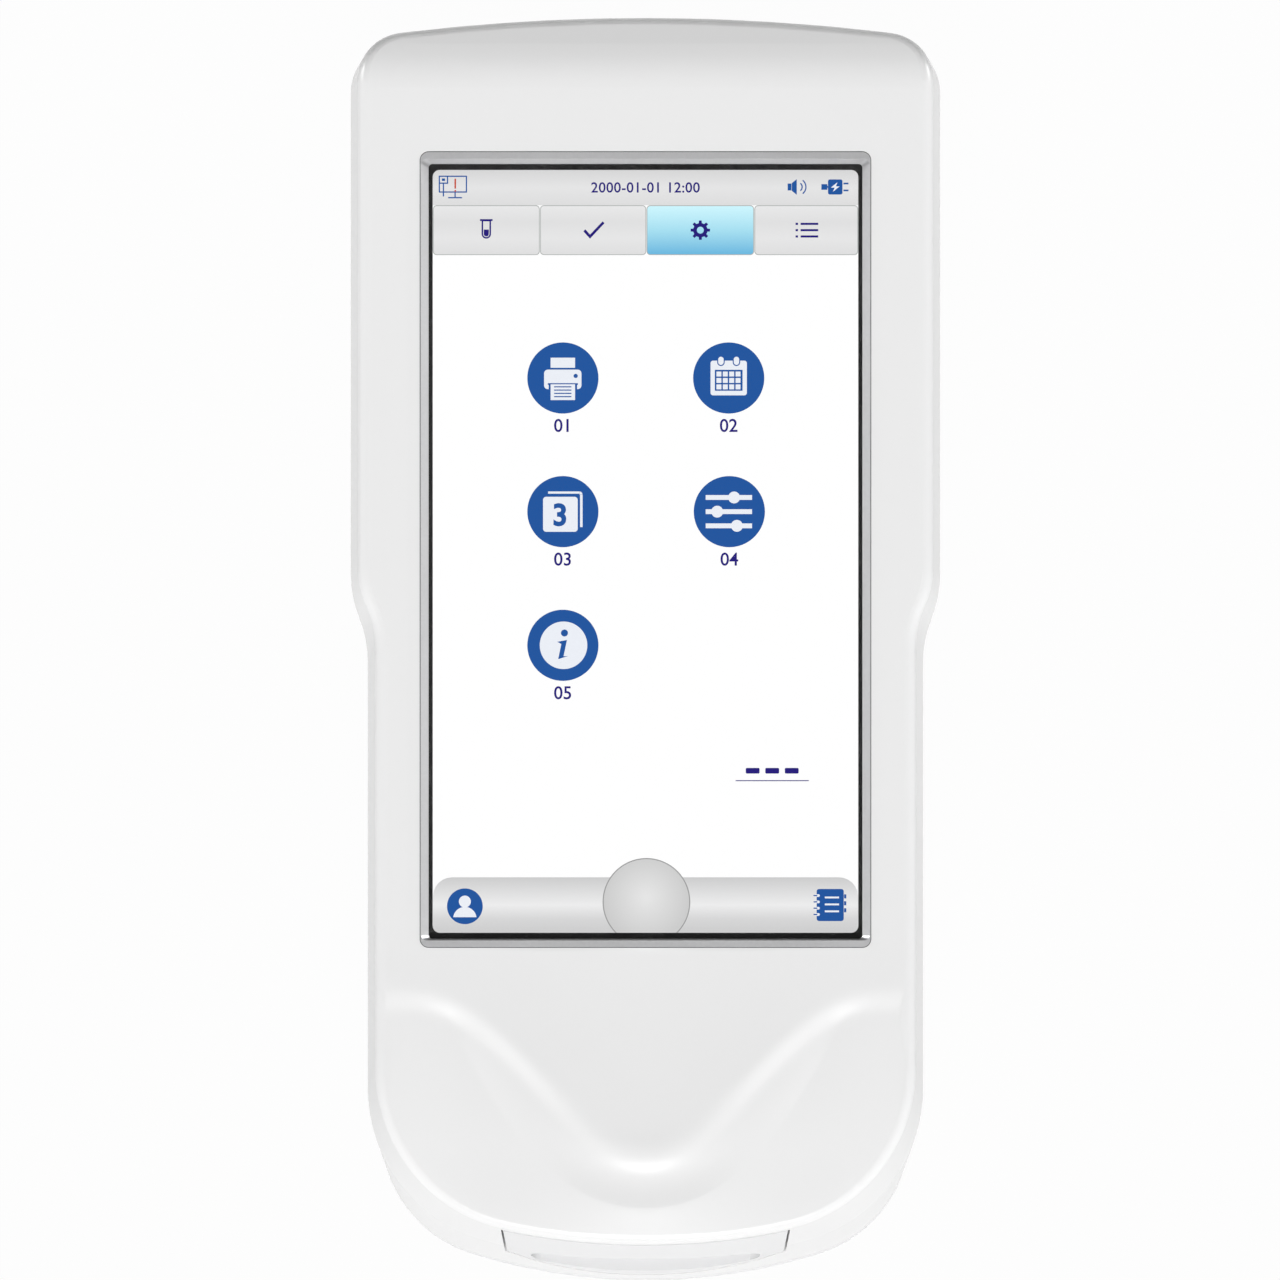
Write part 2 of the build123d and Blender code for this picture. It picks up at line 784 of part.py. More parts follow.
def battery_contacts():
    """Contact block with three blades at the front of the battery bay."""
    low = floor_top + 5
    block = box_between((-10, bay_start, low), (10, bay_start + contact_depth - 1.2, low + 8))
    for x in (-6, 0, 6):
        blade = box_between((x - 1, bay_start + 1, low + 2), (x + 1, bay_start + contact_depth, low + 6))
        block = block + blade
    return one_solid(block)


def speaker():
    """Small round loudspeaker facing the floor slots."""
    basket = rod_between(0, speaker_y, floor_top, floor_top + speaker_height - 1.4, speaker_diameter)
    magnet = rod_between(0, speaker_y, floor_top + 1, floor_top + speaker_height, speaker_diameter * 0.6)
    return one_solid(basket + magnet)


def io_board():
    """Small upright board that carries the rear sockets and the power switch."""
    board = box_between((-io_board_width / 2, io_board_back, io_board_low),
                        (io_board_width / 2, io_board_front, io_board_high))
    for side in (-1, 1):
        x = side * io_boss_x
        board = board - along_y(x, socket_z, io_board_back - 1, io_board_front + 1, small_screw + 0.3)
    return board


def io_screws():
    """Two screws through the rear board into its bosses."""
    screws = []
    for side in (-1, 1):
        x = side * io_boss_x
        shank = along_y(x, socket_z, io_board_back, io_board_front + 2.6, small_screw)
        head = along_y(x, socket_z, io_board_back - small_head_height, io_board_back, small_head)
        screws.append(one_solid(shank + head))
    return Compound(screws)


def usb_socket():
    """Data socket: a rounded metal shell with a tongue inside."""
    end = half_length - 1.0
    shell_out = usb_shell(0.0, end)
    mouth = Plane(origin=(usb_x, io_board_front + 1.5, socket_z), x_dir=(1, 0, 0), z_dir=(0, 1, 0)) * (
        RectangleRounded(usb_width - 0.6, usb_height - 0.6, usb_height / 2 - 0.35))
    hollow = extrude(mouth, end)
    tongue = box_between((usb_x - 3.3, io_board_front + 1, socket_z - 0.35),
                         (usb_x + 3.3, end - 1.4, socket_z + 0.35))
    return one_solid(shell_out - hollow + tongue)


def dc_socket():
    """Round power inlet with its centre pin."""
    end = half_length - 0.8
    block = box_between((dc_x - 4.6, io_board_front, socket_z - 5),
                        (dc_x + 4.6, half_length - wall - 1.2, socket_z + 5))
    barrel = along_y(dc_x, socket_z, io_board_front + 1, end, dc_diameter)
    hollow = along_y(dc_x, socket_z, io_board_front + 1.2, end + 1, dc_bore)
    pin = along_y(dc_x, socket_z, io_board_front + 1, end - 1.5, dc_pin)
    return one_solid(block + barrel - hollow + pin)


def power_button():
    """Round push cap with a flange behind the wall and a stem to the switch."""
    face = half_length - button_x ** 2 / (2 * back_radius) + button_proud
    flange = button_wall - wall - 0.9
    cap = along_y(button_x, socket_z, flange, face, button_diameter)
    cap = chamfer(cap.edges().group_by(Axis.Y)[-1], button_chamfer)
    cap = cap + along_y(button_x, socket_z, flange - button_flange, flange, button_diameter + 2)
    return one_solid(cap)


def power_switch():
    """Small push switch behind the power button."""
    stem_end = button_wall - wall - 0.9 - button_flange - button_travel - 0.1
    body = box_between((button_x - 3, io_board_front, socket_z - 3),
                       (button_x + 3, io_board_front + 1.2, socket_z + 3))
    return one_solid(body + along_y(button_x, socket_z, io_board_front + 1, stem_end, 3.4))


def scanner_window():
    """Dark window flush in the back wall."""
    pane = outer & scan_opening(-fit_gap, half_length - wall - 0.2)
    return one_solid(pane)


def scanner_module():
    """Barcode reader block on its shelf behind the window."""
    end = half_length - wall - 0.4
    low = scan_z - scan_height / 2 - 0.6
    half = scan_width / 2 - 2
    block = box_between((-half, end - scan_depth, low), (half, end, low + scan_height - 1))
    return chamfer(block.edges().filter_by(Axis.Y), 0.8)


def drawer_front():
    """The drawer's front: a piece of the nose wall with a finger recess."""
    panel = outer & drawer_block(0.0, drawer_front_back)
    half = recess_half_width
    top = ThreePointArc((-half, recess_top_side), (0, recess_top_middle), (half, recess_top_side))
    low = ThreePointArc((half, recess_bottom_side), (0, recess_bottom_middle), (-half, recess_bottom_side))
    middle = (recess_top_side + recess_bottom_side) / 2
    far = half + recess_bulge
    right = ThreePointArc((half, recess_top_side), (far, middle), (half, recess_bottom_side))
    left = ThreePointArc((-half, recess_bottom_side), (-far, middle), (-half, recess_top_side))
    mouth = Plane.XZ * Face(Wire([top, right, low, left]))
    hole = Pos(0, recess_back, 0) * Solid.extrude(mouth, Vector(0, -20, 0))
    foot = recess_bottom_middle
    lip = -half_length + 1.0
    curve = Spline([(lip - 6, foot - 1.5), (recess_back - 1.6, foot + 1.6), (recess_back, foot + 4.5)])
    side = Polyline([(recess_back, foot + 4.5), (recess_back, 40), (lip - 6, 40), (lip - 6, foot - 1.5)])
    profile = Face(Wire([curve, *side.edges()]))
    plane = Plane(origin=(-40, 0, 0), x_dir=(0, 1, 0), z_dir=(1, 0, 0))
    sweep_room = plane.location * Solid.extrude(profile, Vector(0, 0, 80))
    return one_solid(panel - (hole & sweep_room))


def cartridge_tray():
    """Sliding tray: a keel between the rails, a wider top, side tongues and the cartridge pocket."""
    keel = box_between((-tray_keel_half, tray_front, tray_bottom), (tray_keel_half, tray_back, tray_top))
    deck_part = box_between((-tray_half, tray_front, tray_step), (tray_half, tray_back, tray_top))
    reach = tray_half + tongue_reach
    tongues = box_between((-reach, tray_front + 1, tongue_low),
                          (reach, tray_back, tongue_low + tongue_thickness))
    tray = keel + deck_part + tongues
    floor_z = tray_bottom + pocket_floor
    pocket = Pos(0, (pocket_front + pocket_back) / 2, floor_z) * extrude(
        RectangleRounded(pocket_width, pocket_length, 3.0), tray_top)
    tray = tray - pocket
    window = box_between((-8, pocket_front + 8, tray_bottom - 1), (8, pocket_back - 14, floor_z + 1))
    tray = tray - window
    thumb = Pos(0, pocket_back, tray_top) * Rot(90, 0, 0) * Cylinder(7.0, 8)
    return one_solid(tray - thumb)


def drawer_rail(side):
    """Plastic rail with the groove that the tray's tongue runs in."""
    near = tray_half + 2 * runner_gap
    far = module_half - module_sheet
    low = module_wall_top - rail_height
    rail = box_between((near, module_front + 1, low), (far, tray_back, module_wall_top))
    groove = box_between((near - 1, module_front, tongue_low - runner_gap),
                         (tray_half + tongue_reach + runner_gap, tray_back + 1,
                          tongue_low + tongue_thickness + runner_gap))
    rail = rail - groove
    if side < 0:
        rail = mirror(rail, Plane.YZ)
    return one_solid(rail)


def module_frame():
    """Folded sheet chassis of the drawer mechanism, screwed to the floor."""
    high = floor_top + module_sheet
    plate = box_between((-module_half, module_front, floor_top), (module_half, module_back, high))
    ears = box_between((-column_x - 4.5, rod_y - 4, floor_top), (column_x + 4.5, screw_y + 7, high))
    frame = plate + ears
    for side in (-1, 1):
        near = side * (module_half - module_sheet)
        far = side * module_half
        frame = frame + box_between((min(near, far), module_front, floor_top),
                                    (max(near, far), module_back, module_wall_top))
    back = box_between((-module_half, module_back - module_sheet, floor_top),
                       (module_half, module_back, module_wall_top))
    frame = frame + back
    for x in (-heater_width / 2 + 3, heater_width / 2 - 3):
        for y in (heater_y - heater_length / 2 + 3, heater_y + heater_length / 2 - 3):
            frame = frame + rod_between(x, y, floor_top, heater_low, heater_posts)
    for x, y in guide_places:
        frame = frame + rod_between(x, y, floor_top, floor_top + guide_boss, rod_diameter + 3)
        frame = frame - rod_between(x, y, floor_top - 1, floor_top + guide_boss + 1, rod_diameter)
    for x, y in module_screw_places:
        frame = frame - rod_between(x, y, floor_top - 1, floor_top + 4, small_screw + 0.3)
    return one_solid(frame)


def module_screws():
    """Four screws that hold the chassis to the floor."""
    screws = []
    for x, y in module_screw_places:
        seat = floor_top + module_sheet
        shank = rod_between(x, y, floor_top, seat, small_screw)
        head = rod_between(x, y, seat, seat + small_head_height, small_head)
        screws.append(one_solid(shank + head))
    return Compound(screws)


def heater_plate():
    """Aluminium plate that warms the cartridge through the tray's window."""
    face = RectangleRounded(heater_width, heater_length, 2)
    return Pos(0, heater_y, heater_low) * extrude(face, heater_thickness)


def press_carriage():
    """Bridge that carries the sensor head down on its guide rods when the screw turns."""
    high = press_height + press_thickness
    front = rod_y - 4
    bridge = box_between((-column_x - 3.5, front, press_height), (column_x + 3.5, screw_y + 4, high))
    for x, y in guide_places + [(column_x, screw_y)]:
        bridge = bridge + rod_between(x, y, press_height, high + 2.4, rod_diameter + 3.4)
    for x, y in guide_places + [(column_x, screw_y)]:
        bridge = bridge - rod_between(x, y, press_height - 1, high + 4, rod_diameter + 2 * shaft_gap)
    return one_solid(bridge)


def sensor_head():
    """Block of the measuring head, hung under the bridge."""
    low = press_height - head_height
    block = box_between((-head_width_x / 2, head_middle - head_length / 2, low),
                        (head_width_x / 2, head_middle + head_length / 2, press_height))
    return chamfer(block.edges().group_by(Axis.Z)[0], 0.6)


def contact_pins():
    """Two rows of sprung pins under the measuring head."""
    low = press_height - head_height
    half = pin_width / 2
    pins = []
    for row in (-pin_row, pin_row):
        for step in range(6):
            x = (step - 2.5) * pin_pitch
            y = head_middle + row
            pins.append(box_between((x - half, y - half, low - pin_reach), (x + half, y + half, low)))
    return Compound(pins)


def lead_screw():
    """Steel screw that lifts and lowers the bridge."""
    low = floor_top + module_sheet + motor_height
    return rod_between(column_x, screw_y, low, rod_top, rod_diameter)


def stepper_motor():
    """Small round stepping motor standing on the chassis."""
    low = floor_top + module_sheet
    can = rod_between(column_x, screw_y, low, low + motor_height, motor_diameter - 1.0)
    return chamfer(can.edges().group_by(Axis.Z)[-1], 0.6)


def guide_rods():
    """Two steel rods pressed into the chassis."""
    return Compound([rod_between(x, y, floor_top, rod_top, rod_diameter) for x, y in guide_places])


def drawer_switch():
    """Switch that feels the closed tray."""
    low = tray_bottom + 1
    front = tray_back + switch_gap
    body = box_between((-4, front + 1.2, low), (4, module_back - module_sheet, low + 5))
    lever = box_between((-2, front, low + 1), (2, front + 1.4, low + 4))
    return one_solid(body + lever)


def detent_spring():
    """Bent leaf under the tray that holds the drawer shut."""
    low = floor_top + module_sheet
    high = tray_bottom - 0.3
    y = tray_back - 9
    near, far = low + spring_thickness / 2, high - spring_thickness / 2
    path = FilletPolyline([(y - 5, near), (y, near), (y + 2.5, far), (y + 7, far)], radius=1.0)
    strip = trace(path, line_width=spring_thickness)
    side = Plane(origin=(-3, 0, 0), x_dir=(0, 1, 0), z_dir=(1, 0, 0))
    return one_solid(extrude(side.location * strip, 6, dir=(1, 0, 0)))


nodes = {
    "upper_cover": upper_cover,
    "lower_housing": lower_housing,
    "battery_cover": battery_cover,
    "rubber_feet": rubber_feet,
    "case_screws": case_screws,
    "display_bezel": display_bezel,
    "touch_panel": touch_panel,
    "display_gasket": display_gasket,
    "lcd_module": lcd_module,
    "display_bracket": display_bracket,
    "bracket_screws": lambda: small_screws(bracket_screws_at, bracket_low, 3.4),
    "main_board": main_board,
    "board_screws": lambda: small_screws(board_posts, board_low, board_thickness + 2.6),
    "board_shields": board_shields,
    "board_connectors": board_connectors,
    "display_flex": display_flex,
    "battery_pack": battery_pack,
    "battery_contacts": battery_contacts,
    "speaker": speaker,
    "io_board": io_board,
    "io_screws": io_screws,
    "usb_socket": usb_socket,
    "dc_socket": dc_socket,
    "power_button": power_button,
    "power_switch": power_switch,
    "scanner_window": scanner_window,
    "scanner_module": scanner_module,
    "drawer_front": drawer_front,
    "cartridge_tray": cartridge_tray,
    "left_rail": lambda: drawer_rail(-1),
    "right_rail": lambda: drawer_rail(1),
    "module_frame": module_frame,
    "module_screws": module_screws,
    "heater_plate": heater_plate,
    "press_carriage": press_carriage,
    "sensor_head": sensor_head,
    "contact_pins": contact_pins,
    "lead_screw": lead_screw,
    "stepper_motor": stepper_motor,
    "guide_rods": guide_rods,
    "drawer_switch": drawer_switch,
    "detent_spring": detent_spring,
}

for name, make in nodes.items():
    export_step(make(), f"parts/{name}.step")
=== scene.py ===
from math import asin, cos, pi, radians, sin, tau
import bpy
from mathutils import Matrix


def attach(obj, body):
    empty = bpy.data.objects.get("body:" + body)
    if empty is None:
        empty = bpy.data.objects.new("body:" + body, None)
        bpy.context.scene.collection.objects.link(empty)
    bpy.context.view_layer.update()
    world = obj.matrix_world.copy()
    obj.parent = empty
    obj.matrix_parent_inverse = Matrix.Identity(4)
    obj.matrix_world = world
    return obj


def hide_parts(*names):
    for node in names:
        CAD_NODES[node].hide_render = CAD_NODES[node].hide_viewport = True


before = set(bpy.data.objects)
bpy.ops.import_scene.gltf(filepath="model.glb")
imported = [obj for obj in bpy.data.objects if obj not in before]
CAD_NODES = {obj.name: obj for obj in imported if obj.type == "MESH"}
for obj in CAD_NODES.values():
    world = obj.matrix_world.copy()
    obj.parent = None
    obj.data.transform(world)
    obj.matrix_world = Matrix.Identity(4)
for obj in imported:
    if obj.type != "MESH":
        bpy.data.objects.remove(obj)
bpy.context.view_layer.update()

from types import SimpleNamespace

import bmesh
import bpy
from bpy.props import FloatProperty, FloatVectorProperty, PointerProperty
from bpy.types import Operator, Panel, PropertyGroup
from mathutils import Vector
from mathutils.geometry import delaunay_2d_cdt

bl_info = {
    "name": "Analyzer finish",
    "version": (1, 0, 0),
    "blender": (4, 5, 0),
    "location": "View3D > Sidebar > Analyzer",
    "description": "Finishes, screen picture and studio for a hand-sized analyzer with a test drawer",
    "category": "Object",
}

MM = 0.001
DECK_TILT = radians(10.0)
DECK_HEIGHT = 49.0 * MM
DECK_NORMAL = Vector((0.0, -sin(DECK_TILT), cos(DECK_TILT)))
DECK_UP = Vector((0.0, cos(DECK_TILT), sin(DECK_TILT)))


def deck_point(x, t, w=0.0):
    """A place on the leaning deck: across, up along it and out of it, in metres."""
    return Vector((x, 0.0, DECK_HEIGHT)) + t * DECK_UP + w * DECK_NORMAL


def on_deck(point):
    """The reverse of deck_point."""
    away = Vector(point) - Vector((0.0, 0.0, DECK_HEIGHT))
    return away.x, away.dot(DECK_UP), away.dot(DECK_NORMAL)


def deck_extent(node):
    """Lowest and highest deck coordinates of a CAD node, each as (x, t, w)."""
    points = [on_deck(vertex.co) for vertex in CAD_NODES[node].data.vertices]
    return [min(axis) for axis in zip(*points)], [max(axis) for axis in zip(*points)]


GLASS_LOW, GLASS_HIGH = deck_extent("touch_panel")
SCREEN_MIDDLE = (GLASS_LOW[1] + GLASS_HIGH[1]) / 2
CELL_TOP = deck_extent("lcd_module")[1][2]


def length(name, description, default):
    """A size in metres that a user may change."""
    return FloatProperty(name=name, description=description, default=default, min=0.0, precision=5,
                         unit="LENGTH", subtype="DISTANCE")


def position(name, description, default):
    """A place along one axis, in metres, that a user may change."""
    return FloatProperty(name=name, description=description, default=default, precision=5, unit="LENGTH",
                         subtype="DISTANCE")


def number(name, description, default, **more):
    """A plain number, not below zero, that a user may change."""
    return FloatProperty(name=name, description=description, default=default, min=0.0, **more)


def colour(name, description, default):
    """A surface colour that a user may change."""
    return FloatVectorProperty(name=name, description=description, default=default, min=0.0, max=1.0, size=3,
                               subtype="COLOR")


def added(name, data):
    """A new object that holds the data, linked to the scene."""
    thing = bpy.data.objects.new(name, data)
    bpy.context.scene.collection.objects.link(thing)
    return thing


def rgba(tint):
    """A colour as a socket takes it: with a fourth part, unless it comes from a node."""
    return tint if isinstance(tint, Value) else (*tint, 1.0)


class ScreenSizes(PropertyGroup):
    """Sizes of the lit picture, in the plane of the display."""

    lit_width: length("Lit width", "Width of the lit picture", 67.5 * MM)
    lit_length: length("Lit length", "Length of the lit picture", 121.0 * MM)
    lit_corner: length("Lit corner", "Corner radius of the lit picture", 1.1 * MM)
    plate: length("Plate", "Thickness of one layer of the picture", 0.005 * MM)
    layer: length("Layer", "Rise from one layer of the picture to the next", 0.011 * MM)
    brightness: number("Brightness", "Strength of the screen's own light", 1.065)


class NoseSizes(PropertyGroup):
    """Sizes of the moulded nose, in the plane of the deck."""

    start: position("Start", "Where the nose begins to leave the deck", -44.0 * MM)
    curl: number("Curl", "How strongly the tongue curls up, per metre", 2.1)
    tongue_top: position("Tongue top", "Where the tongue's edge meets the sides", -57.0 * MM)
    tongue_drop: length("Tongue drop", "How far the tongue reaches down in the middle", 22.8 * MM)
    tongue_half: length("Tongue half width", "Half width of the tongue", 37.3 * MM)
    tongue_sag: number("Tongue sag", "Share by which the tongue is lower in the middle", 0.42, max=1.0)
    sag_half: length("Sag half width", "Half width over which the tongue sags", 26.0 * MM)
    wing_rise: number("Wing rise", "Slope of the wings beside the tongue", 0.02)
    wing_bend: position("Wing bend", "Where the wings begin to fall", -58.0 * MM)
    wing_fall: number("Wing fall", "How strongly the wings fall, per metre", 1.7)
    wing_step: length("Wing step", "Step down from the deck to the wings", 0.38 * MM)
    crown_start: position("Crown start", "Where the crown over the drawer begins", -60.0 * MM)
    crown_run: length("Crown run", "Length over which the crown rises", 24.0 * MM)
    crown_height: length("Crown height", "Rise of the crown", 2.6 * MM)
    crown_half: length("Crown half width", "Half width of the crown", 36.0 * MM)
    swell: length("Swell", "Further rise of the crown by the scoop's crease", 0.3 * MM)
    swell_half: length("Swell half width", "Half width of the swell", 22.0 * MM)
    swell_end: position("Swell end", "Where the swell has gone again", -97.0 * MM)
    swell_run: length("Swell run", "Length over which the swell goes", 8.0 * MM)
    step_width: length("Step width", "Width of the step round the tongue's flanks", 4.8 * MM)
    step_widening: number("Step widening", "How much wider the step is in the middle", 0.55)
    step_lead: length("Step lead", "How far the step begins above the tongue's edge", 0.9 * MM)
    slope_share: number("Slope share", "Part of the step that falls evenly to the crease", 0.45, max=1.0)
    hollow: length("Hollow", "Depth of the hollows beside the scoop", 0.5 * MM)
    hollow_side: length("Hollow side", "Half width at which the hollows begin", 38.0 * MM)
    hollow_front: position("Hollow front", "Where the hollows have gone again", -96.0 * MM)
    hollow_run: length("Hollow run", "Length over which a hollow deepens", 14.0 * MM)
    scoop_top: position("Scoop top", "Where the scoop's crease meets the sides", -59.7 * MM)
    scoop_drop: length("Scoop drop", "How far the scoop reaches down in the middle", 31.8 * MM)
    scoop_half: length("Scoop half width", "Half width of the scoop", 32.0 * MM)
    scoop_power: number("Scoop power", "Fullness of the scoop's lower edge", 2.2)
    scoop_depth: length("Scoop depth", "Depth of the scoop", 0.85 * MM)
    scoop_width: length("Scoop width", "Run of the scoop up from its crease", 6.0 * MM)
    scoop_floor: number("Scoop floor", "How much shallower the scoop is under the tongue", 0.8, max=1.0)
    floor_run: length("Floor run", "Length over which the scoop's floor rises to the tongue", 9.0 * MM)
    scoop_fade: length("Scoop fade", "Half width over which the scoop's rise dies out", 24.0 * MM)
    crease_run: length("Crease run", "Width over which the crease begins at each side", 6.0 * MM)
    crease: length("Crease", "Half width of the rounding on the scoop's crease", 0.1 * MM)
    spacing: length("Spacing", "Distance between the points of the surface", 0.8 * MM)


class ScrewSizes(PropertyGroup):
    """Sizes of the lead screw that lowers the press."""

    core: length("Core", "Radius of the screw between the turns of its thread", 1.22 * MM)
    crest: length("Crest", "Radius over the crest of the thread", 1.5 * MM)
    lead: length("Lead", "Rise of the thread in one turn", 1.2 * MM)
    plain_end: length("Plain end", "Length without thread at each end", 0.8 * MM)


class FinishColours(PropertyGroup):
    """Colours of the moulded, metal and lit surfaces."""

    housing: colour("Housing", "White moulded shells", (0.84, 0.84, 0.845))
    bezel: colour("Bezel", "Satin silver trim round the glass", (0.66, 0.66, 0.67))
    tray: colour("Tray", "Light grey sliding parts", (0.6, 0.61, 0.62))
    button: colour("Button", "Grey push cap", (0.42, 0.44, 0.46))
    black: colour("Black", "Black moulded inner parts", (0.02, 0.02, 0.022))
    board: colour("Board", "Solder mask of the boards", (0.012, 0.11, 0.05))
    sleeve: colour("Sleeve", "Shrink sleeve of the cells", (0.02, 0.09, 0.3))
    icon: colour("Icon", "Blue of the round symbols", (0.0103, 0.0865, 0.337))
    ink: colour("Ink", "Navy of the digits", (0.0137, 0.0066, 0.1845))
    alert: colour("Alert", "Red mark on the link symbol", (0.55, 0.06, 0.02))


class StudioSizes(PropertyGroup):
    """Camera, lamps and floor."""

    distance: length("Camera distance", "From the middle of the deck to the camera", 8.0)
    frame_width: length("Frame width", "Width of the picture at the deck", 203.0 * MM)
    aim_x: position("Aim across", "Place of the picture's middle across the deck", -0.87 * MM)
    aim_t: position("Aim along", "Place of the picture's middle along the deck", -1.44 * MM)
    key_energy: number("Key", "Strength of the key lamp", 2.96)
    left_energy: number("Left fill", "Strength of the lamp behind on the left", 1.15)
    right_energy: number("Right fill", "Strength of the lamp behind on the right", 1.3225)
    sky: number("Sky", "Strength of the surrounding light", 0.14)
    floor_size: length("Floor", "Side of the square floor", 6.0)
    floor_tone: number("Floor tone", "Grey of the floor where the lamps light it", 0.36, max=1.0)
    floor_glow: number("Floor glow", "Share of even white in the floor that the camera sees", 0.975, max=1.0)


class Value:
    """A number, colour or place inside a tree; its operators add the Math nodes of a formula."""

    def __init__(self, tree, socket):
        self.tree, self.socket = tree, socket

    def math(self, operation, *others):
        return self.tree.math(operation, self, *others)

    def __add__(self, other):
        return self.math("ADD", other)

    def __sub__(self, other):
        return self.math("SUBTRACT", other)

    def __rsub__(self, other):
        return self.tree.math("SUBTRACT", other, self)

    def __mul__(self, other):
        return self.math("MULTIPLY", other)

    def __truediv__(self, other):
        return self.math("DIVIDE", other)

    def __pow__(self, other):
        return self.math("POWER", other)

    def __abs__(self):
        return self.math("ABSOLUTE")

    __radd__ = __add__

    def clamped(self):
        """Held between 0 and 1."""
        return self.math("MAXIMUM", 0.0).math("MINIMUM", 1.0)

    def ease(self):
        """Rises smoothly from 0 to 1."""
        held = self.clamped()
        return held * held * (3.0 - held * 2.0)

    def part(self, name):
        """One axis of a place."""
        return self.tree.node("ShaderNodeSeparateXYZ", {"Vector": self}).give(name)

    def up_deck(self):
        """How far up the deck a place lies, in metres."""
        return self.part("Y") * DECK_UP.y + (self.part("Z") - DECK_HEIGHT) * DECK_UP.z


class Made:
    """A node that was added, with its outputs by name."""

    def __init__(self, tree, node):
        self.tree, self.source = tree, node

    def give(self, name):
        return Value(self.tree, self.source.outputs[name])


class Tree:
    """A node tree, of a material or of Geometry Nodes."""

    def __init__(self, tree):
        self.tree = tree
        self.tree.nodes.clear()

    def node(self, kind, values=None, settings=None):
        """Adds a node; its settings come before its sockets, since they can change the sockets."""
        made = self.tree.nodes.new(kind)
        for key, value in (settings or {}).items():
            if key == "stops":
                self.set_stops(made.color_ramp, value)
            else:
                setattr(made, key, value)
        for key, value in (values or {}).items():
            linked = value if isinstance(value, list) else [value]
            if isinstance(linked[0], Value):
                for source in linked:
                    self.tree.links.new(source.socket, made.inputs[key])
            else:
                made.inputs[key].default_value = value
        return Made(self, made)

    def set_stops(self, ramp, stops):
        """Gives a ramp its stops, each a place and a colour."""
        while len(ramp.elements) < len(stops):
            ramp.elements.new(1.0)
        for element, (spot, tint) in zip(ramp.elements, stops):
            element.position, element.color = spot, rgba(tint)

    def math(self, operation, *terms):
        return self.node("ShaderNodeMath", dict(enumerate(terms)), {"operation": operation}).give("Value")


class Finish(Tree):
    """One procedural material, or the world, and the nodes inside it."""

    def __init__(self, name, owner=None):
        self.owner = owner or bpy.data.materials.new(name)
        self.owner.use_nodes = True
        super().__init__(self.owner.node_tree)

    def place(self):
        """Place on the piece, in metres."""
        return self.node("ShaderNodeTexCoord").give("Object")

    def stretched(self, place, scale):
        """The place with each axis multiplied."""
        values = {0: place, 1: scale}
        return self.node("ShaderNodeVectorMath", values, {"operation": "MULTIPLY"}).give("Vector")

    def noise(self, place, scale, detail=2.0):
        values = {"Vector": place, "Scale": scale, "Detail": detail}
        return self.node("ShaderNodeTexNoise", values).give("Fac")

    def ramp(self, value, stops):
        return self.node("ShaderNodeValToRGB", {"Fac": value}, {"stops": stops}).give("Color")

    def mix(self, factor, first, second):
        """A colour between two colours."""
        values = {"Factor": factor, 6: rgba(first), 7: rgba(second)}
        made = self.node("ShaderNodeMix", values, {"data_type": "RGBA"})
        return Value(self, made.source.outputs[2])

    def bump(self, height, distance, strength):
        values = {"Height": height, "Distance": distance, "Strength": strength}
        return self.node("ShaderNodeBump", values).give("Normal")

    def principled(self, **sockets):
        values = {key.replace("_", " "): value for key, value in sockets.items()}
        values["Base Color"] = rgba(values["Base Color"])
        return self.node("ShaderNodeBsdfPrincipled", values).give("BSDF")

    def emission(self, tint, strength):
        values = {"Color": rgba(tint), "Strength": strength}
        return self.node("ShaderNodeEmission", values).give("Emission")

    def finish(self, shader):
        """Links the shader to the output and gives the material back."""
        place = "World" if isinstance(self.owner, bpy.types.World) else "Material"
        self.node("ShaderNodeOutput" + place, {"Surface": shader})
        return self.owner


class Shape(Tree):
    """A Geometry Nodes tree with named sizes as its inputs."""

    def __init__(self, name, sizes):
        group = bpy.data.node_groups.new(name, "GeometryNodeTree")
        super().__init__(group)
        self.sizes = sizes
        group.interface.new_socket("Geometry", in_out="INPUT", socket_type="NodeSocketGeometry")
        group.interface.new_socket("Geometry", in_out="OUTPUT", socket_type="NodeSocketGeometry")
        for title in sizes:
            group.interface.new_socket(title, in_out="INPUT", socket_type="NodeSocketFloat")
        self.entry = self.node("NodeGroupInput")
        self.size = SimpleNamespace(**{title: self.entry.give(title) for title in sizes})

    def close(self, geometry, material):
        """Ends the tree with real geometry and its material."""
        real = self.node("GeometryNodeRealizeInstances", {"Geometry": geometry}).give("Geometry")
        painted = self.node("GeometryNodeSetMaterial", {"Geometry": real, "Material": material})
        self.node("NodeGroupOutput", {"Geometry": painted.give("Geometry")})

    def bake(self, mesh):
        """Runs the tree on a mesh and gives the plain result."""
        holder = added(self.tree.name, mesh)
        modifier = holder.modifiers.new(self.tree.name, "NODES")
        modifier.node_group = self.tree
        for item in self.tree.interface.items_tree:
            if item.in_out == "INPUT" and item.name in self.sizes:
                modifier[item.identifier] = self.sizes[item.name]
        graph = bpy.context.evaluated_depsgraph_get()
        baked = bpy.data.meshes.new_from_object(holder.evaluated_get(graph))
        bpy.data.objects.remove(holder)
        return baked


def shade(tint, factor):
    """A colour made darker or lighter."""
    return tuple(min(part * factor, 1.0) for part in tint)


